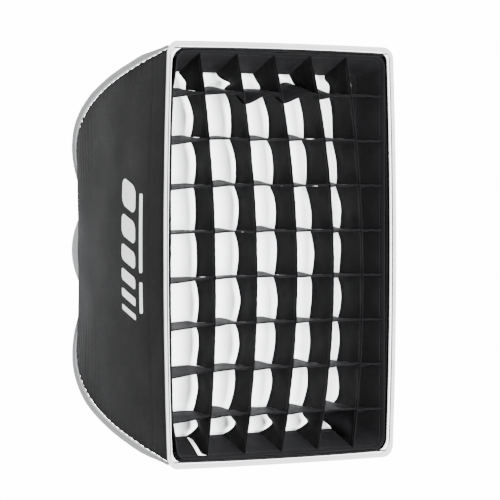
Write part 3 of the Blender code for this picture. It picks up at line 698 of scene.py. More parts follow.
# From here inwards the tape takes its paler copy, a painted highlight along the round piping.
HIGHLIGHT_FROM = 5.3
VALLEY = 0.665  # share of the tape's width at which the stitched valley runs
VALLEY_THREAD = 0.42 * MM  # from the tape's middle to the thread in the valley
RIM_FLARE = 2.2 * MM  # the rim binding's inner edge lies this much further back

# How much rounder the rim's inner edge is than a plain offset, going round from top right.
INNER_ROUNDING = (0.002, 0.011, 0.007, 0.008)


def rim_line(inset):
    """Closed outline of the rim, that far inside its outer edge, as (x, z) points."""
    radii = [max(RIM_RADIUS - inset, 0.003) + r * inset / TAPE_WIDTH for r in INNER_ROUNDING]
    line = []
    for k, (sx, sz) in enumerate(((1, 0), (0, 1), (-1, 0), (0, -1))):
        wide = sx != 0
        half_across = (RIM_WIDTH if wide else RIM_HEIGHT) / 2 - inset
        half_along = (RIM_HEIGHT if wide else RIM_WIDTH) / 2 - inset
        bulge = RIM_BULGE_LONG if wide else RIM_BULGE_SHORT
        first, last = -half_along + radii[k - 1], half_along - radii[k]
        u = np.linspace(first, last, 150 if wide else 100)
        middle, reach = (first + last) / 2, (last - first) / 2
        across = half_across + bulge * (1 - ((u - middle) / reach) ** 2)
        arc = np.linspace(0, math.pi / 2, 18)[1:-1]
        arc_u = last + radii[k] * np.sin(arc)
        arc_across = half_across - radii[k] * (1 - np.cos(arc))
        u, across = np.concatenate([u, arc_u]), np.concatenate([across, arc_across])
        if wide:
            line.append(np.stack([sx * across, sx * u], -1))
        else:
            line.append(np.stack([-sz * u, sz * across], -1))
    return np.concatenate(line)


def tape_rings(outer, inner, thick_way, wobble, crease):
    """Rings of the folded tape's profile between an outer and an inner line."""
    profile = [(a, h) for a, h in TAPE_PROFILE] + [(a, -h) for a, h in TAPE_PROFILE[-2:0:-1]]
    rings = []
    for a, h in profile:
        share = a * MM / TAPE_WIDTH
        at = outer + (inner - outer) * share
        height = h * MM * (1 + wobble) + np.sign(h) * crease * (0.3 + 0.7 * (share < 0.6))
        rings.append(at + thick_way * height[:, None])
    # the rings along the round piping take the paler tone, a painted highlight
    return np.stack(rings, 1), [1 if a >= HIGHLIGHT_FROM else 0 for a, _ in profile]


def tape_noise(path, seed):
    """(relative change of thickness, small creases) along a tape's path."""
    wobble = 0.07 * ripple(path[None], 0.02, seed)[0]
    crease = 0.05 * MM * ripple(path[None], 0.004, seed + 1)[0]
    return wobble, crease


def make_rim_tape():
    outer2, inner2 = rim_line(0.0), rim_line(TAPE_WIDTH)
    middle_y = FRONT_Y + TAPE_THICK / 2
    outer = np.stack([outer2[:, 0], np.full(len(outer2), middle_y), outer2[:, 1]], -1)
    inner = np.stack([inner2[:, 0], np.full(len(inner2), middle_y + RIM_FLARE), inner2[:, 1]], -1)
    wobble, crease = tape_noise(outer, 11)
    corner = np.array((RIM_WIDTH / 2 - RIM_RADIUS, RIM_HEIGHT / 2 - RIM_RADIUS))
    near = np.abs(np.abs(outer2) - corner).max(axis=1)
    gathered = np.exp(-((near / 0.016) ** 2))
    steps = np.linalg.norm(np.roll(outer, -1, axis=0) - outer, axis=1)
    run = np.cumsum(steps)
    crease = crease + gathered * 0.22 * MM * (np.sin(2 * math.pi * run / 0.0031) - 0.6)
    sway = 0.25 * MM * ripple(outer[None], 0.035, 13)[0] * (1 - gathered)
    direction = inner - outer
    direction /= np.linalg.norm(direction, axis=1, keepdims=True)
    outer = outer + direction * (np.abs(sway) + 0.1 * MM)[:, None]
    front = np.array((0.0, -1.0, 0.0))
    rings, finish_of = tape_rings(outer, inner, front, wobble, crease)
    made = swept("rim_tape", rings, (BINDING, HIGHLIGHT_TAPE), closed=True, finish_of=finish_of)
    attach(made, "box")
    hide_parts(*(f"rim_binding_{side}" for side in SIDES))
    valley = outer + (inner - outer) * VALLEY
    rows = []
    for way in (-1, 1):
        path = valley + np.array((0.0, way * VALLEY_THREAD, 0.0))
        path = np.concatenate([path, path[:1]])
        rows.append((path, np.tile((0.0, float(way), 0.0), (len(path), 1))))
    return rows


def make_seam_tape(corner, seed):
    first = SEAM_START + 0.002
    s = np.linspace(first, SEAM_END - 0.028, 200)
    ease = 1 - smoothstep(0.0, 0.14, (s - first) / (s[-1] - first))
    depth_in, radius_in = seam_point(s, TAPE_WIDTH)
    inner = in_corner(corner, radius_in, depth_in)
    depth_out, radius_out = seam_point(s, ease * 0.0040)
    outer = in_corner(corner, radius_out, depth_out)
    _, side = corner_vectors(corner)
    wobble, crease = tape_noise(outer, seed)
    sway = 0.5 * MM * ripple(outer[None], 0.03, seed + 2)[0] * (1 - ease)
    outer = outer + side * sway[:, None]
    pinch = (outer - inner) * (0.05 * ripple(outer[None], 0.022, seed + 3)[0][:, None] - 0.02)
    outer = outer + pinch * (1 - ease)[:, None]
    end = smoothstep(0.0, 0.05, (s[-1] - s) / (s[-1] - first))[:, None]
    outer = inner + (outer - inner) * (0.45 + 0.55 * end)
    rings, finish_of = tape_rings(outer, inner, side, wobble, crease)
    made = swept(f"seam_tape_{corner}", rings, (BINDING, HIGHLIGHT_TAPE), finish_of=finish_of)
    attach(made, "box")
    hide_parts(f"seam_binding_{corner}")
    valley = outer + (inner - outer) * VALLEY
    rows = []
    for way in (-1, 1):
        path = valley + side * way * VALLEY_THREAD
        rows.append((path[6:], np.tile(side * way, (len(path) - 6, 1))))
    return rows


def make_rear_tape():
    """Gathered tape over the edge of the round hole at the back."""
    low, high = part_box("rear_binding")
    middle_y = (low.y + high.y) / 2
    count = 320
    angle = np.linspace(0, 2 * math.pi, count, endpoint=False)
    spoke = np.stack([np.cos(angle), np.zeros(count), np.sin(angle)], -1)
    outer_radius, inner_radius = high.x, high.x - TAPE_WIDTH + 0.0003
    seat = np.array((0.0, middle_y, 0.0))
    outer = seat + spoke * (outer_radius - 0.1 * MM)
    inner = seat + spoke * inner_radius
    wobble, crease = tape_noise(outer, 31)
    crease = crease + 0.12 * MM * (np.sin(angle * 46 + 2 * ripple(outer[None], 0.03, 33)[0]) - 0.8)
    back = np.array((0.0, 1.0, 0.0))
    rings, finish_of = tape_rings(outer, inner, back, wobble, crease)
    made = swept("rear_tape", rings, (BINDING, HIGHLIGHT_TAPE), closed=True, finish_of=finish_of)
    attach(made, "box")
    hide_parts("rear_binding")


def make_bindings():
    rows = make_rim_tape()
    for number, corner in enumerate(CORNERS):
        rows += make_seam_tape(corner, 41 + 5 * number)
    make_rear_tape()
    stitches("binding_stitches", rows, THREAD_LIGHT, "box")


# --- Outlines -------------------------------------------------------------------------


def rounded(u, v, half_x, half_z, radius):
    """Where (u, v) of a square from -1 to 1 falls in a rectangle with round corners."""
    x, z = u * half_x, v * half_z
    a = np.clip((np.abs(x) - half_x + radius) / radius, 0, 1)
    b = np.clip((np.abs(z) - half_z + radius) / radius, 0, 1)
    x = x + np.sign(x) * radius * a * (np.sqrt(1 - b * b / 2) - 1)
    z = z + np.sign(z) * radius * b * (np.sqrt(1 - a * a / 2) - 1)
    return x, z


def square_line(per_side):
    """(u, v) round the edge of a square from -1 to 1, from the foot of its right side up."""
    t = np.linspace(-1, 1, per_side, endpoint=False)
    one = np.ones(per_side)
    u = np.concatenate([one, -t, -one, t])
    v = np.concatenate([t, one, -t, -one])
    return u, v


def share_at_depth(side, t, depth):
    """The share at which a panel reaches a depth, for each t."""
    low, high = np.zeros(len(t)), np.full(len(t), 0.9)
    for _ in range(30):
        middle = (low + high) / 2
        before = panel_points(side, t, middle)[..., 1] < FRONT_Y + depth
        low, high = np.where(before, middle, low), np.where(before, high, middle)
    return low


# --- Cloth simulation -----------------------------------------------------------------


def simulated(points, faces, hold, frames, slack, pull):
    """Where cloth settles: hold is 1 where it is fixed, slack the share it is cut too large."""
    mesh = bpy.data.meshes.new("loose_cloth")
    mesh.from_pydata(points.tolist(), [], faces.tolist())
    cloth = bpy.data.objects.new("loose_cloth", mesh)
    scene = bpy.context.scene
    scene.collection.objects.link(cloth)
    held = cloth.vertex_groups.new(name="held")
    for weight in np.unique(hold):
        if weight > 0:
            held.add(np.flatnonzero(hold == weight).tolist(), float(weight), "REPLACE")
    change = cloth.modifiers.new("cloth", "CLOTH")
    change.settings.quality = 6
    change.settings.mass = 0.12
    change.settings.tension_stiffness = change.settings.compression_stiffness = 12.0
    change.settings.shear_stiffness = 4.0
    change.settings.bending_stiffness = 0.35
    change.settings.air_damping = 4.0
    change.settings.vertex_group_mass = "held"
    change.settings.pin_stiffness = 2.0
    change.settings.shrink_min = change.settings.shrink_max = -slack
    change.collision_settings.use_collision = False
    change.point_cache.frame_start, change.point_cache.frame_end = 1, frames
    gravity = scene.gravity.copy()
    scene.gravity = pull
    for number in range(1, frames + 1):
        scene.frame_set(number)
    settled = cloth.evaluated_get(bpy.context.evaluated_depsgraph_get()).data
    found = np.zeros(len(points) * 3)
    settled.vertices.foreach_get("co", found)
    scene.gravity = gravity
    scene.frame_set(1)
    bpy.data.objects.remove(cloth)
    return found.reshape(-1, 3)


def spline(values, at):
    """Values read between rows of an array, on a smooth curve through them."""
    last = len(values) - 1
    i = np.clip(np.floor(at).astype(int), 0, last - 1)
    f = (at - i).reshape((-1,) + (1,) * (values.ndim - 1))
    a, b, c, d = (values[np.clip(i + k, 0, last)] for k in (-1, 0, 1, 2))
    curve = 2 * b + (c - a) * f + (2 * a - 5 * b + 4 * c - d) * f**2
    return (curve + (3 * b - 3 * c + d - a) * f**3) / 2


def resampled(grid, rows_at, columns_at):
    grid = spline(grid, rows_at)
    return spline(grid.swapaxes(0, 1), columns_at).swapaxes(0, 1)


# --- Diffuser and baffle --------------------------------------------------------------


def creases(x, z, seed):
    """Soft folds in slack nylon, in metres towards the front."""
    place = np.stack([x, np.zeros_like(x), z], -1)
    bent = place + 0.012 * ripple(place, 0.08, seed)[..., None]
    long_way = bent * np.array((1.0, 1.0, 0.45))
    cross_way = bent @ np.array(((0.8, 0.0, 0.5), (0.0, 1.0, 0.0), (-0.5, 0.0, 0.35)))
    soft = 2.4 * MM * ripple(long_way, 0.045, seed + 1)
    folds = 1.7 * MM * (0.5 - np.abs(ripple(cross_way, 0.030, seed + 2)))
    return soft + folds + 0.35 * MM * ripple(place, 0.011, seed + 3)


def hung_sheet(name, node, radius, rows, columns, finish, seed, droop, depth_range):
    """A diffuser cloth with soft folds, held by its edge, in the place of its CAD node."""
    low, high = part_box(node)
    half_x, half_z = high.x, high.z
    v, u = np.meshgrid(np.linspace(-1, 1, rows), np.linspace(-1, 1, columns), indexing="ij")
    x, z = rounded(u, v, half_x, half_z, radius)
    to_edge = np.minimum(half_x - np.abs(x), half_z - np.abs(z))
    free = smoothstep(0.0, 0.03, to_edge)
    forward = creases(x, z, seed) * (0.15 + 0.85 * free) + droop * (1 - u * u) * (1 - v * v)
    pucker = 0.7 * MM * np.sin((x + z) * 2 * math.pi / 0.019) * (1 - smoothstep(0.002, 0.035, to_edge))
    forward = np.clip(forward + pucker, *depth_range)
    middle = np.stack([x, low.y + CLOTH / 2 - forward, z], -1)
    normals = normals_of(middle, (0.0, -1.0, 0.0))
    uv = np.stack([x, z], -1)
    hem = 0.9 * MM * (1 - smoothstep(0.0085, 0.0095, to_edge))
    made = cloth_solid(name, middle, normals, 0.45 * MM + hem, uv, (finish,))
    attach(made, "box")
    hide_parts(node)
    return made, middle, normals


def edge_rows(middle, normals, inset_rows, lift):
    """Paths for stitches, a few rows in from the edge of a grid of cloth, on its front."""
    a, b = inset_rows, -1 - inset_rows
    found = []
    for picked in ((a, slice(a, b)), (b, slice(a, b)), (slice(a, b), a), (slice(a, b), b)):
        found.append((middle[picked] + normals[picked] * lift, normals[picked]))
    return found


FLAP_REACH = 0.84  # share of each side that the hook-tape flap covers


def make_diffuser_flap(side):
    """The flap that holds one side of the diffuser to the lining by hook tape."""
    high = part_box("front_diffuser")[1]
    t = np.linspace(-FLAP_REACH, FLAP_REACH, 90)
    share = share_at_depth(side, t, 0.047)
    on_lining, _ = lining_points(side, t, share, 0.8 * MM)
    deeper, _ = lining_points(side, t, share_at_depth(side, t, 0.060), 0.8 * MM)
    sx, sz = SIDES[side]
    u, v = (np.full(len(t), float(sx)), t) if sx else (t, np.full(len(t), float(sz)))
    x, z = rounded(u, v, high.x - 0.004, high.z - 0.004, 0.020)
    edge = np.stack([x, np.full(len(t), high.y + 0.5 * MM), z], -1)
    rows = [edge]
    for k in np.linspace(0.12, 0.88, 9):
        sag = np.array((0.0, 1.0, 0.0)) * (4 * k * (1 - k) * 0.004)
        rows.append(edge + (deeper - edge) * k + sag * (1 + 0.6 * ripple(edge[None], 0.02, 61)[0][:, None]))
    rows.append(deeper)
    for k in (0.25, 0.5, 0.75, 1.0):
        rows.append(deeper + (on_lining - deeper) * k)
    middle = np.stack(rows)
    face = normals_of(middle, (-sx, -0.6, -sz))
    uv = cloth_uv(middle)
    made = cloth_solid(f"diffuser_flap_{side}", middle, face, 0.7 * MM, uv, (HOOK_TAPE,))
    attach(made, "box")


def lining_points(side, t, share, clearance):
    """(points that far inside the lining, normals out of it) for each t and share of a panel."""
    step = 1e-3
    points = panel_points(side, t, share)
    across = panel_points(side, t + step, share) - points
    down = panel_points(side, t, share + step) - points
    normal = np.cross(across, down)
    normal /= np.linalg.norm(normal, axis=-1, keepdims=True)
    normal *= np.sign(normal @ np.array(panel_outward(side)))[:, None]
    return points - normal * (CLOTH + clearance), -normal


def make_hook_tape(side):
    """The hook tape sewn inside the rim, which the grid's band is pressed on to."""
    t = np.linspace(-0.93, 0.93, 110)
    rows = []
    for depth in np.linspace(0.009, 0.034, 7):
        points, _ = lining_points(side, t, share_at_depth(side, t, depth), 0.9 * MM)
        rows.append(points)
    middle = np.stack(rows)
    sx, sz = SIDES[side]
    face = normals_of(middle, (-sx, -0.3, -sz))
    uv = cloth_uv(middle)
    made = cloth_solid(f"hook_tape_{side}", middle, face, 1.1 * MM, uv, (HOOK_TAPE,))
    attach(made, "box")


def make_baffle_strap(corner):
    """Flat elastic webbing on a corner's diagonal, between the baffle and the rod.

    The top left and bottom right ones come out 15 mm long and reach neither.
    """
    node = f"baffle_strap_{corner}"
    low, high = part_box(node)
    out, across = corner_vectors(corner)
    reach = [abs(p.x) * out[0] * np.sign(out[0]) + abs(p.z) * abs(out[2]) for p in (low, high)]
    start, end = min(reach) + 0.001, max(reach) - 0.0025
    s = np.linspace(0, 1, 26)
    width = np.linspace(-1, 1, 9)
    middle_y = (low.y + high.y) / 2
    radius = start + (end - start) * s
    sway = 0.5 * MM * np.sin(s * math.pi * 3)
    narrow = 0.0038 - 0.0006 * np.sin(s * math.pi)
    centre = radius[:, None, None] * out
    middle = centre + (width[None, :] * narrow[:, None])[..., None] * across
    middle[..., 1] = middle_y + sway[:, None] * 0.5 + 0.15 * MM * width[None, :] ** 2
    normals = normals_of(middle, (0.0, -1.0, 0.0))
    uv = cloth_uv(middle)
    made = cloth_solid(node.replace("strap", "elastic"), middle, normals, 0.8 * MM, uv, (DARK_WEB,))
    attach(made, "box")
    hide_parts(node)


def make_diffusers():
    made, middle, normals = hung_sheet(
        "diffuser_cloth", "front_diffuser", 0.020, 190, 130, DIFFUSION, 71, 0.002, (-0.0045, 0.0065)
    )
    rows = edge_rows(middle, normals, 4, 0.75 * MM)
    made, middle, normals = hung_sheet(
        "baffle_cloth", "inner_baffle", 0.012, 120, 84, DIFFUSION, 81, 0.0, (-0.004, 0.004)
    )
    for side in SIDES:
        make_diffuser_flap(side)
        make_hook_tape(side)
    for corner in CORNERS:
        make_baffle_strap(corner)
    rows += edge_rows(middle, normals, 3, 0.75 * MM)
    stitches("diffuser_stitches", rows, THREAD_LIGHT, "box")


# --- Egg-crate grid -------------------------------------------------------------------

CELL_STEPS = 10  # cloth columns from one crossing to the next
END_STEPS = 8  # cloth columns from the band to the first crossing
NET_ROWS = 9
SLOT = 1.8 * MM
STRIP_CLOTH = 0.85 * MM
HEM_STITCH = 0.0040  # from a strip's edge to its hem's stitching
SEWN_IN = 1.6 * MM  # a strip's cloth stops this far inside the band's outline
SETTLING_FRAMES, NET_SLACK, NET_PULL = 24, 0.002, (0.5, 0.0, 0.0)


def band_half(w, axis):
    """Half the grid's width or height, at a share of the band's depth."""
    return BAND_FRONT_HALF[axis] + w * (BAND_REAR_HALF[axis] - BAND_FRONT_HALF[axis])


def left_overlap(z, w):
    """How far the left side of the band lies further out, against the rim's binding."""
    bow = RIM_BULGE_LONG * (1 - (z / (RIM_HEIGHT / 2 - RIM_RADIUS)) ** 2)
    near_rim = RIM_WIDTH / 2 - TAPE_WIDTH - 0.5 * MM - BAND_FRONT_HALF[0]
    fade = 1 - smoothstep(0.175, 0.212, np.abs(z))
    return (near_rim + bow) * (1 - w) * fade


def end_overlap(w):
    """How far the top and bottom of the band lie further out, against the rim's binding."""
    return 0.0022 * (1 - w)


def hump(share, at, width):
    return np.exp(-(((share - at) / width) ** 2))


def strip_y(w):
    """Y of the strips' cloth at a share of their depth."""
    return FRONT_Y + STRIP_FRONT + (STRIP_REAR - STRIP_FRONT) * w


def strip_x(number, z):
    """Where a long strip's front edge stands at height z."""
    place = STRIP_SHIFT + GRID_PITCH * (number - (len(STRIP_BOWS) - 1) / 2)
    up = z / BAND_FRONT_HALF[1]
    return place + STRIP_BOWS[number] * (1 - up**2) - STRIP_LEAN * up


def cross_place(number):
    """The height of a cross strip's front edge."""
    return GRID_PITCH * (number - (CROSS_COUNT - 1) / 2)


def crossing_shifts():
    """(x, z) shifts of each crossing's rear end from where the cloth would hang straight."""
    rng = np.random.default_rng(5)
    places = cross_place(np.arange(CROSS_COUNT))
    x = rng.uniform(-0.0016, 0.0016, (len(STRIP_BOWS), CROSS_COUNT))
    x -= GRID_DRAW * np.array([strip_x(i, places) for i in range(len(STRIP_BOWS))])
    z = rng.uniform(-0.0012, 0.0012, (len(STRIP_BOWS), CROSS_COUNT))
    z += GRID_LIFT * (places / places[-1]) ** 2
    z[2:4, -1] += (0.002, 0.007)  # the top row is pulled askew
    return x, z


def cell_shares(count):
    """(cell number, share across it) for each cloth column of a strip."""
    steps = [END_STEPS] + [CELL_STEPS] * (count - 1) + [END_STEPS]
    cell = np.concatenate([[k] * n for k, n in enumerate(steps)] + [[count]])
    share = np.concatenate([np.arange(n) / n for n in steps] + [[1.0]])
    return cell, share


def between(knots, cell, share):
    """Values read straight between knots, which are an array of knot by row."""
    return knots[cell].T * (1 - share) + knots[cell + 1].T * share


def eased(knots, cell, share):
    return between(knots, cell, share * share * (3 - 2 * share))


# The rear corners of the long strips fold over in the top and bottom cells: for each strip
# (where in the cell, how widely, how far towards +X).
TOP_FOLDS = (
    (0.75, 0.22, -0.0045), (0.40, 0.20, 0.0120), (0.50, 0.30, -0.0035),
    (0.55, 0.30, -0.0010), (0.70, 0.28, -0.0055),
)
BOTTOM_FOLDS = (
    (0.30, 0.32, 0.0125), (0.30, 0.32, 0.0135), (0.28, 0.30, 0.0145),
    (0.28, 0.30, 0.0140), (0.55, 0.45, -0.0200),
)


def long_strip(number, w, shifts):
    """Points of a long strip's middle, by row from front to rear and column along Z."""
    rng = np.random.default_rng(20 + number)
    cell, share = cell_shares(CROSS_COUNT)
    end = band_half(w, 1) - SEWN_IN + end_overlap(w)
    inner = cross_place(np.arange(CROSS_COUNT))[:, None] + shifts[1][number][:, None] * w
    z = between(np.concatenate([[-end], inner, [end]]), cell, share)
    shift = np.concatenate([[0.0], shifts[0][number], [0.0]])[:, None] * w
    x = strip_x(number, z[:1].repeat(len(w), 0)) + eased(shift, cell, share)
    cells = cell.max() + 1
    bow, twist = rng.uniform(-0.0004, 0.0014, cells), rng.uniform(0.0008, 0.0028, cells)
    bow[[0, -1]] = twist[[0, -1]] = 0.0
    belly = bow[cell] * np.sin(math.pi * share) + twist[cell] * np.sin(2 * math.pi * share)
    for edge_cell, folds in ((0, BOTTOM_FOLDS), (cells - 1, TOP_FOLDS)):
        at, width, size = folds[number]
        belly = belly + (cell == edge_cell) * size * hump(share, at, width) * np.sin(math.pi * share) ** 0.5
    x = x + w[:, None] ** 1.3 * belly
    return np.stack([x, np.broadcast_to(strip_y(w)[:, None], x.shape), z], -1)


def cross_strip(number, w, shifts):
    """Points of a cross strip's middle, by row from front to rear and column along X."""
    rng = np.random.default_rng(40 + number)
    cell, share = cell_shares(len(STRIP_BOWS))
    place = cross_place(number)
    end = band_half(w, 0) - SEWN_IN
    inner = np.array([strip_x(i, place) + shifts[0][i][number] * w for i in range(len(STRIP_BOWS))])
    x = between(np.concatenate([[-end - left_overlap(place, w)], inner, [end]]), cell, share)
    shift = np.concatenate([shifts[1][:1, number], shifts[1][:, number], [0.0]])[:, None] * w
    drop = np.zeros_like(shift)
    drop[0] = -rng.uniform(0.0015, 0.0075) * (1 - w)
    arch = rng.uniform(0.0012, 0.0052, cell.max() + 1)
    arch[0] = rng.uniform(0.0, 0.0040)
    arch[-1] = 0.0
    z = place + eased(shift, cell, share) + between(drop, cell, share)
    z = z + w[:, None] ** 1.2 * arch[cell] * np.sin(math.pi * share**1.2)
    return np.stack([x, np.broadcast_to(strip_y(w)[:, None], x.shape), z], -1)


def net_shapes():
    """All strips' middles, drawn with their folds and then settled as one net."""
    w = np.linspace(0, 1, NET_ROWS)
    shifts = crossing_shifts()
    longs = [long_strip(i, w, shifts) for i in range(len(STRIP_BOWS))]
    crosses = [cross_strip(j, w, shifts) for j in range(CROSS_COUNT)]
    points, faces, hold, numbers = [], [], [], {}
    for kind, grids in (("long", longs), ("cross", crosses)):
        for n, grid in enumerate(grids):
            ids = np.arange(grid.shape[0] * grid.shape[1]).reshape(grid.shape[:2]) + len(points)
            pins = np.zeros(grid.shape[:2])
            pins[:, 0] = pins[:, -1] = 1.0
            middles = np.arange(END_STEPS, grid.shape[1] - 1, CELL_STEPS)
            pins[0, 1:-1] = 0.4
            pins[0, middles] = 0.8
            fresh = np.ones(grid.shape[:2], bool)
            if kind == "cross":
                for i, column in enumerate(middles):
                    ids[:, column] = numbers["long", i][:, END_STEPS + CELL_STEPS * n]
                    fresh[:, column] = False
            ids[fresh] = len(points) + np.arange(fresh.sum())
            points += list(grid[fresh])
            hold += list(pins[fresh])
            numbers[kind, n] = ids
            quads, _ = quilt(*ids.shape)
            faces.append(ids.ravel()[quads])
    points, faces, hold = np.array(points), np.concatenate(faces), np.array(hold)
    settled = simulated(points, faces, hold, SETTLING_FRAMES, NET_SLACK, NET_PULL)
    long_nets = [settled[numbers["long", i]] for i in range(len(longs))]
    cross_nets = [settled[numbers["cross", j]] for j in range(len(crosses))]
    return long_nets, cross_nets


def strip_columns(count, slot_share):
    """A finished strip's columns: places in the net, which spans are slots, cells and shares."""
    at, is_slot, cells, shares = [], [], [], []
    place = 0.0
    edge = slot_share * CELL_STEPS
    for k in range(count + 1):
        steps = END_STEPS if k in (0, count) else CELL_STEPS
        first = place + (edge if k else 0.0)
        last = place + steps - (edge if k < count else 0.0)
        run = np.linspace(first, last, steps * 2 + 1)
        at.append(run)
        cells.append(np.full(len(run), k))
        shares.append((run - place) / steps)
        is_slot += [False] * (steps * 2) + ([True] if k < count else [])
        place += steps
    return np.concatenate(at), np.array(is_slot), np.concatenate(cells), np.concatenate(shares)


# How far the cut corners of the top cross strip droop, for each cell.
TOP_DROOPS = (0.0, 0.0022, 0.0120, 0.0100, 0.0050, 0.0)


def free_corners(rear_slots, number, cell, share, w):
    """How far a strip's cloth stands out of line beside its slots, where it is cut free."""
    rng = np.random.default_rng(60 + number + 10 * rear_slots)
    cells = cell.max() + 1
    if rear_slots:
        after, before = rng.uniform(-0.0004, 0.0010, cells), rng.uniform(-0.0028, -0.0006, cells)
        widths = (0.16, 0.16)
    else:
        after, before = -rng.uniform(0.0002, 0.0026, cells), rng.uniform(-0.0002, 0.0014, cells)
        widths = (0.26, 0.16)
        if number == CROSS_COUNT:
            after = -np.array(TOP_DROOPS)
            widths = (0.42, 0.16)
    after[0] = before[-1] = 0.0
    shift = after[cell] * hump(share, 0.0, widths[0]) + before[cell] * hump(share, 1.0, widths[1])
    free = smoothstep(0.35, 1.0, w if rear_slots else 1 - w)
    return free[:, None] * shift


STRIP_ROW_STEPS = 24


def finish_strip(name, node, net, rear_slots, count):
    """A strip's cloth from its settled net: hems, fine wrinkles, slots and stitches."""
    columns_at, is_slot, cell, share = strip_columns(count, SLOT / 2 / GRID_PITCH)
    w = np.linspace(0, 1, STRIP_ROW_STEPS + 1)
    middle = resampled(net, w * (NET_ROWS - 1), columns_at)
    outward = (1.0, 0.0, 0.0) if rear_slots else (0.0, 0.0, 1.0)
    shift = free_corners(rear_slots, int(node[-1]), cell, share, w)
    middle = middle + shift[..., None] * np.array(outward)
    normals = normals_of(middle, outward)
    ends = smoothstep(0, 4, np.minimum(np.arange(len(columns_at)), np.arange(len(columns_at))[::-1]))
    wrinkle = 0.45 * MM * ripple(middle, 0.016, len(name) + int(node[-1])) * ends
    middle = middle + normals * wrinkle[..., None]
    normals = normals_of(middle, outward)
    from_edge = np.minimum(w, 1 - w)[:, None] * (STRIP_REAR - STRIP_FRONT)
    hem = 0.75 * MM * (1 - smoothstep(0.0042, 0.0050, from_edge)) * smoothstep(0.0, 0.0006, from_edge)
    groove = 0.25 * MM * np.exp(-(((from_edge - HEM_STITCH) / 0.0005) ** 2))
    thick = STRIP_CLOTH + (hem - groove) * np.ones(len(columns_at))
    half = STRIP_ROW_STEPS // 2
    kept = np.ones((STRIP_ROW_STEPS, len(columns_at) - 1), bool)
    cut_rows = slice(half, None) if rear_slots else slice(0, half)
    kept[cut_rows, is_slot] = False
    uv = cloth_uv(middle)
    made = cloth_solid(name, middle, normals, thick, uv, (GRID_CLOTH,), kept)
    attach(made, "grid")
    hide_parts(node)
    row = int(round(HEM_STITCH / (STRIP_REAR - STRIP_FRONT) * STRIP_ROW_STEPS))
    lift = normals[row] * (thick[row] / 2)[:, None]
    rows = []
    for way in (-1, 1):
        path = middle[row] + way * lift
        up = way * normals[row]
        if rear_slots:
            rows.append((path[3:-3], up[3:-3]))
            continue
        stops = np.concatenate([[0], np.flatnonzero(is_slot) + 1, [len(path)]])
        for a, b in zip(stops[:-1], stops[1:]):
            rows.append((path[a:b], up[a:b]))
    return rows


def band_surface(w, per_side=130):
    """Middle of the band's cloth: a closed loop of columns for each share of its depth."""
    u, v = square_line(per_side)
    rows = []
    for share in w:
        x, z = rounded(u, v, band_half(share, 0), band_half(share, 1), 0.012)
        left = smoothstep(0.80, 1.0, -x / band_half(share, 0))
        near_end = smoothstep(0.90, 1.0, np.abs(z) / band_half(share, 1))
        z = z + np.sign(z) * near_end * end_overlap(share)
        x = x - left * left_overlap(z, share)
        y = FRONT_Y + BAND_FRONT + (BAND_REAR - BAND_FRONT) * share
        rows.append(np.stack([x, np.full(len(x), y), z], -1))
    return np.stack(rows)


def make_band():
    w = np.linspace(0, 1, 23)
    middle = band_surface(w)
    closed = np.concatenate([middle, middle[:, :1]], 1)
    run = lengths_along(closed, 1)
    outward = middle * np.array((1.0, 0.0, 1.0))
    across = np.roll(middle, -1, axis=1) - np.roll(middle, 1, axis=1)
    normals = np.cross(across, np.gradient(middle, axis=0))
    normals /= np.linalg.norm(normals, axis=-1, keepdims=True)
    normals *= np.sign((normals * outward).sum(-1))[..., None]
    waviness = 0.7 * MM * ripple(middle, 0.05, 91) + 0.25 * MM * ripple(middle, 0.012, 92)
    middle = middle - normals * (0.6 * MM + np.abs(waviness))[..., None]
    from_edge = np.minimum(w, 1 - w)[:, None] * (BAND_REAR - BAND_FRONT)
    hem = 0.8 * MM * (1 - smoothstep(0.0050, 0.0060, from_edge)) * smoothstep(0.0, 0.0006, from_edge)
    thick = 1.0 * MM + hem * np.ones(middle.shape[1])
    uv = np.stack([run, lengths_along(closed, 0)], -1)
    made = cloth_solid("grid_band", middle, normals, thick, uv, (GRID_BAND_CLOTH,), wrap=True)
    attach(made, "grid")
    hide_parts(*(f"grid_band_{side}" for side in SIDES))
    rows = []
    for row in (3, len(w) - 4):
        path = middle[row] - normals[row] * (thick[row] / 2)[:, None]
        rows.append((path, -normals[row]))
    return rows


def make_pull_tab():
    """White tab that lies on the bottom of the band, beside the first long strip."""
    across, share = np.meshgrid(np.linspace(-1, 1, 7), np.linspace(0.02, 0.92, 28))
    x = strip_x(0, -BAND_FRONT_HALF[1]) - 0.0090 + 0.0105 * share + 0.0022 * across
    x = x + 0.0035 * hump(share, 0.02, 0.07) * (across + 1)
    z = -band_half(share, 1) - end_overlap(share) + 1.9 * MM
    z = z + 0.8 * MM * np.sin(3.1 * share) ** 2 + 0.25 * MM * across
    points = np.stack([x, strip_y(share), z], -1)
    normals = normals_of(points, (0.0, 0.0, 1.0))
    uv = cloth_uv(points)
    made = cloth_solid("pull_tab", points, normals, 0.5 * MM, uv, (TAB_WEBBING, TAB_WEBBING))
    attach(made, "grid")


def make_grid():
    rows = make_band()
    make_pull_tab()
    longs, crosses = net_shapes()
    for i, net in enumerate(longs):
        node = f"grid_long_strip_{i + 1}"
        rows += finish_strip(f"long_strip_{i + 1}", node, net, True, CROSS_COUNT)
    for j, net in enumerate(crosses):
        node = f"grid_cross_strip_{j + 1}"
        rows += finish_strip(f"cross_strip_{j + 1}", node, net, False, len(STRIP_BOWS))
    stitches("grid_stitches", rows, THREAD_DARK, "grid")


# --- Print on the left panel ----------------------------------------------------------


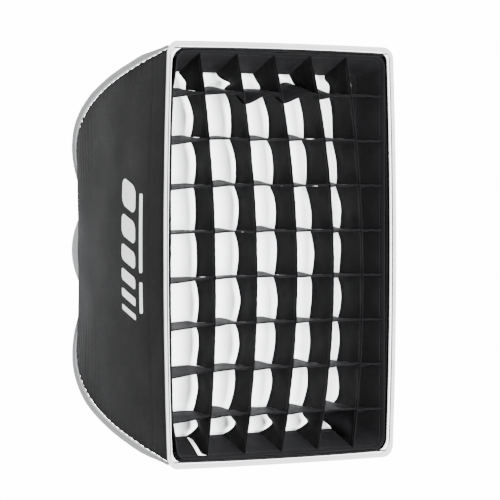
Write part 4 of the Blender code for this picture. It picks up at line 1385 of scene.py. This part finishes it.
def on_panel(side, depth, z):
    """(points on the outer face of a wide panel, normals) at depths and heights."""
    low, high = np.zeros(depth.shape), np.full(depth.shape, 0.9)
    k_along = DIAGONAL[1]
    for _ in range(30):
        share = (low + high) / 2
        radius = seam_point(SEAM_START + (SEAM_END - SEAM_START) * share, TAPE_WIDTH)[1]
        t = z / (k_along * radius)
        before = panel_points(side, t, share)[..., 1] < FRONT_Y + depth
        low, high = np.where(before, share, low), np.where(before, high, share)
    points = panel_points(side, t, low)
    normals = normals_of(points, panel_outward(side))
    relief = panel_relief(side, t, low, points)
    return points + normals * relief[..., None], normals


def make_print():
    """Generic rounded bars: a row of slanted ones, and a thin row beside it."""
    bars = []
    top = 0.079
    for width in (0.030, 0.024, 0.018, 0.013, 0.009, 0.006):
        bars.append((top - width / 2, width / 2, 0.08475, 0.01675, 0.006))
        top -= width + 0.009
    top = 0.066
    for width in (0.086, 0.034):
        bars.append((top - width / 2, width / 2, 0.0550, 0.0035, 0.0))
        top -= width + 0.010
    for number, (z, half_z, depth, half_depth, slant) in enumerate(bars):
        v, u = np.meshgrid(np.linspace(-1, 1, 30), np.linspace(-1, 1, 30), indexing="ij")
        radius = min(half_z, half_depth) * 0.62
        a, b = rounded(u, v, half_depth, half_z, radius)
        points, normals = on_panel("left", depth + a, z + b + slant * a / half_depth)
        middle, uv = points + normals * 0.06 * MM, np.stack([a, b], -1)
        made = cloth_solid(f"panel_print_{number + 1}", middle, normals, 0.12 * MM, uv, (PRINT,))
        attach(made, "box")


# --- Rods -----------------------------------------------------------------------------


def rod_path(corner):
    """The rod's centre line from its socket's floor to its tip."""
    dense = np.linspace(0.3, 0.999, 4000)
    depth, radius = seam_point(dense, ROD_INSET)
    order = np.argsort(radius)
    mouth = np.interp(SOCKET_TO, radius[order], dense[order])
    start = np.interp(SOCKET_TO + 0.008, radius[order], dense[order])
    step = 1e-3
    ahead, behind = seam_point(mouth - step, ROD_INSET), seam_point(mouth + step, ROD_INSET)
    slope = (ahead[0] - behind[0]) / (ahead[1] - behind[1])
    mouth_depth = seam_point(mouth, ROD_INSET)[0]
    straight = np.linspace(SOCKET_FLOOR + 0.0004, SOCKET_TO, 8)
    s = np.linspace(start, 0.045, 90)
    depth, radius = seam_point(s, ROD_INSET)
    depth = np.concatenate([mouth_depth + slope * (straight - SOCKET_TO), depth])
    radius = np.concatenate([straight, radius])
    return in_corner(corner, radius, depth)


def make_rod(corner):
    path = rod_path(corner)
    made = tube(f"spring_rod_{corner}", path, ROD_RADIUS - 0.05 * MM, (SPRING_STEEL,), 14)
    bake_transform(made)
    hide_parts(f"rod_{corner}")


# --- Carried-over metal and plastic ---------------------------------------------------


def paint_nodes():
    paint = {
        "speedring": RING_ALLOY,
        "bayonet_adapter": BAYONET_ALLOY,
        "adapter_retaining_ring": BAYONET_ALLOY,
        "lock_pad": BRASS,
        "lock_screw": SPRING_STEEL,
        "lock_knob": BLACK_PLASTIC,
    }
    for corner in CORNERS:
        paint[f"rod_socket_{corner}"] = SOCKET_ALLOY
        paint[f"socket_pin_{corner}"] = SPRING_STEEL
        paint[f"rod_tip_cap_{corner}"] = BLACK_PLASTIC
    for name, finish in paint.items():
        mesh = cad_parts[name].data
        mesh.materials.clear()
        mesh.materials.append(finish)


# --- Studio ---------------------------------------------------------------------------


def only_for_camera(made):
    made.visible_diffuse = made.visible_glossy = made.visible_transmission = False
    made.visible_volume_scatter = made.visible_shadow = False


def make_stage():
    glow = glow_material("white_backdrop", 15.0)
    bpy.ops.mesh.primitive_uv_sphere_add(segments=64, ring_count=32, radius=12)
    dome = bpy.context.object
    dome.name = "backdrop"
    bpy.ops.mesh.primitive_circle_add(vertices=96, radius=3, fill_type="NGON", location=(0, 0, -0.2335))
    floor = bpy.context.object
    floor.name = "floor"
    for made in (dome, floor):
        made.data.materials.append(glow)
        only_for_camera(made)


def direction(azimuth, elevation):
    """The way from the box to a camera or light; azimuth 0 is straight in front."""
    a, e = math.radians(azimuth), math.radians(elevation)
    return Vector((math.sin(a) * math.cos(e), -math.cos(a) * math.cos(e), math.sin(e)))


def add_light(name, azimuth, elevation, distance, size, power):
    """A soft square light that looks at the box from a direction."""
    back = direction(azimuth, elevation)
    light = bpy.data.lights.new(name, "AREA")
    light.shape = "SQUARE"
    light.size = size
    light.energy = power
    made = bpy.data.objects.new(name, light)
    made.location = Vector((0, -0.2, 0)) + back * distance
    made.rotation_mode = "QUATERNION"
    made.rotation_quaternion = (-back).to_track_quat("-Z", "Y")
    made.visible_camera = False
    bpy.context.scene.collection.objects.link(made)


def make_lights():
    world = bpy.data.worlds.new("studio")
    world.use_nodes = True
    sky = world.node_tree.nodes["Background"]
    sky.inputs["Color"].default_value = (0.97, 0.985, 1.0, 1.0)
    sky.inputs["Strength"].default_value = 1.7
    bpy.context.scene.world = world
    add_light("front_key", 2, 0, 2.2, 1.0, 320)
    add_light("above_front", -14, 52, 1.9, 1.0, 90)
    add_light("below_front", -14, -52, 1.9, 1.0, 90)
    add_light("rear_left", -158, 6, 1.8, 0.8, 11)


def make_camera():
    azimuth, elevation, distance = -36.4, 1.0, 3.63
    back = direction(azimuth, elevation)
    right = Vector((math.cos(math.radians(azimuth)), math.sin(math.radians(azimuth)), 0.0))
    up = back.cross(right)
    front_centre = Vector((0.0, FRONT_Y, 0.0))
    aim = front_centre - right * 0.0369 + up * 0.0042
    camera = bpy.data.cameras.new("camera")
    camera.lens, camera.sensor_width = 238.4, 36.0
    made = bpy.data.objects.new("camera", camera)
    made.location = aim + back * distance
    made.rotation_mode = "QUATERNION"
    made.rotation_quaternion = (-(made.location - aim)).to_track_quat("-Z", "Y")
    bpy.context.scene.collection.objects.link(made)
    bpy.context.scene.camera = made


make_camera()
make_stage()
make_lights()
make_shell()
make_bindings()
make_diffusers()
make_grid()
make_print()
for rod_corner in CORNERS:
    make_rod(rod_corner)
paint_nodes()
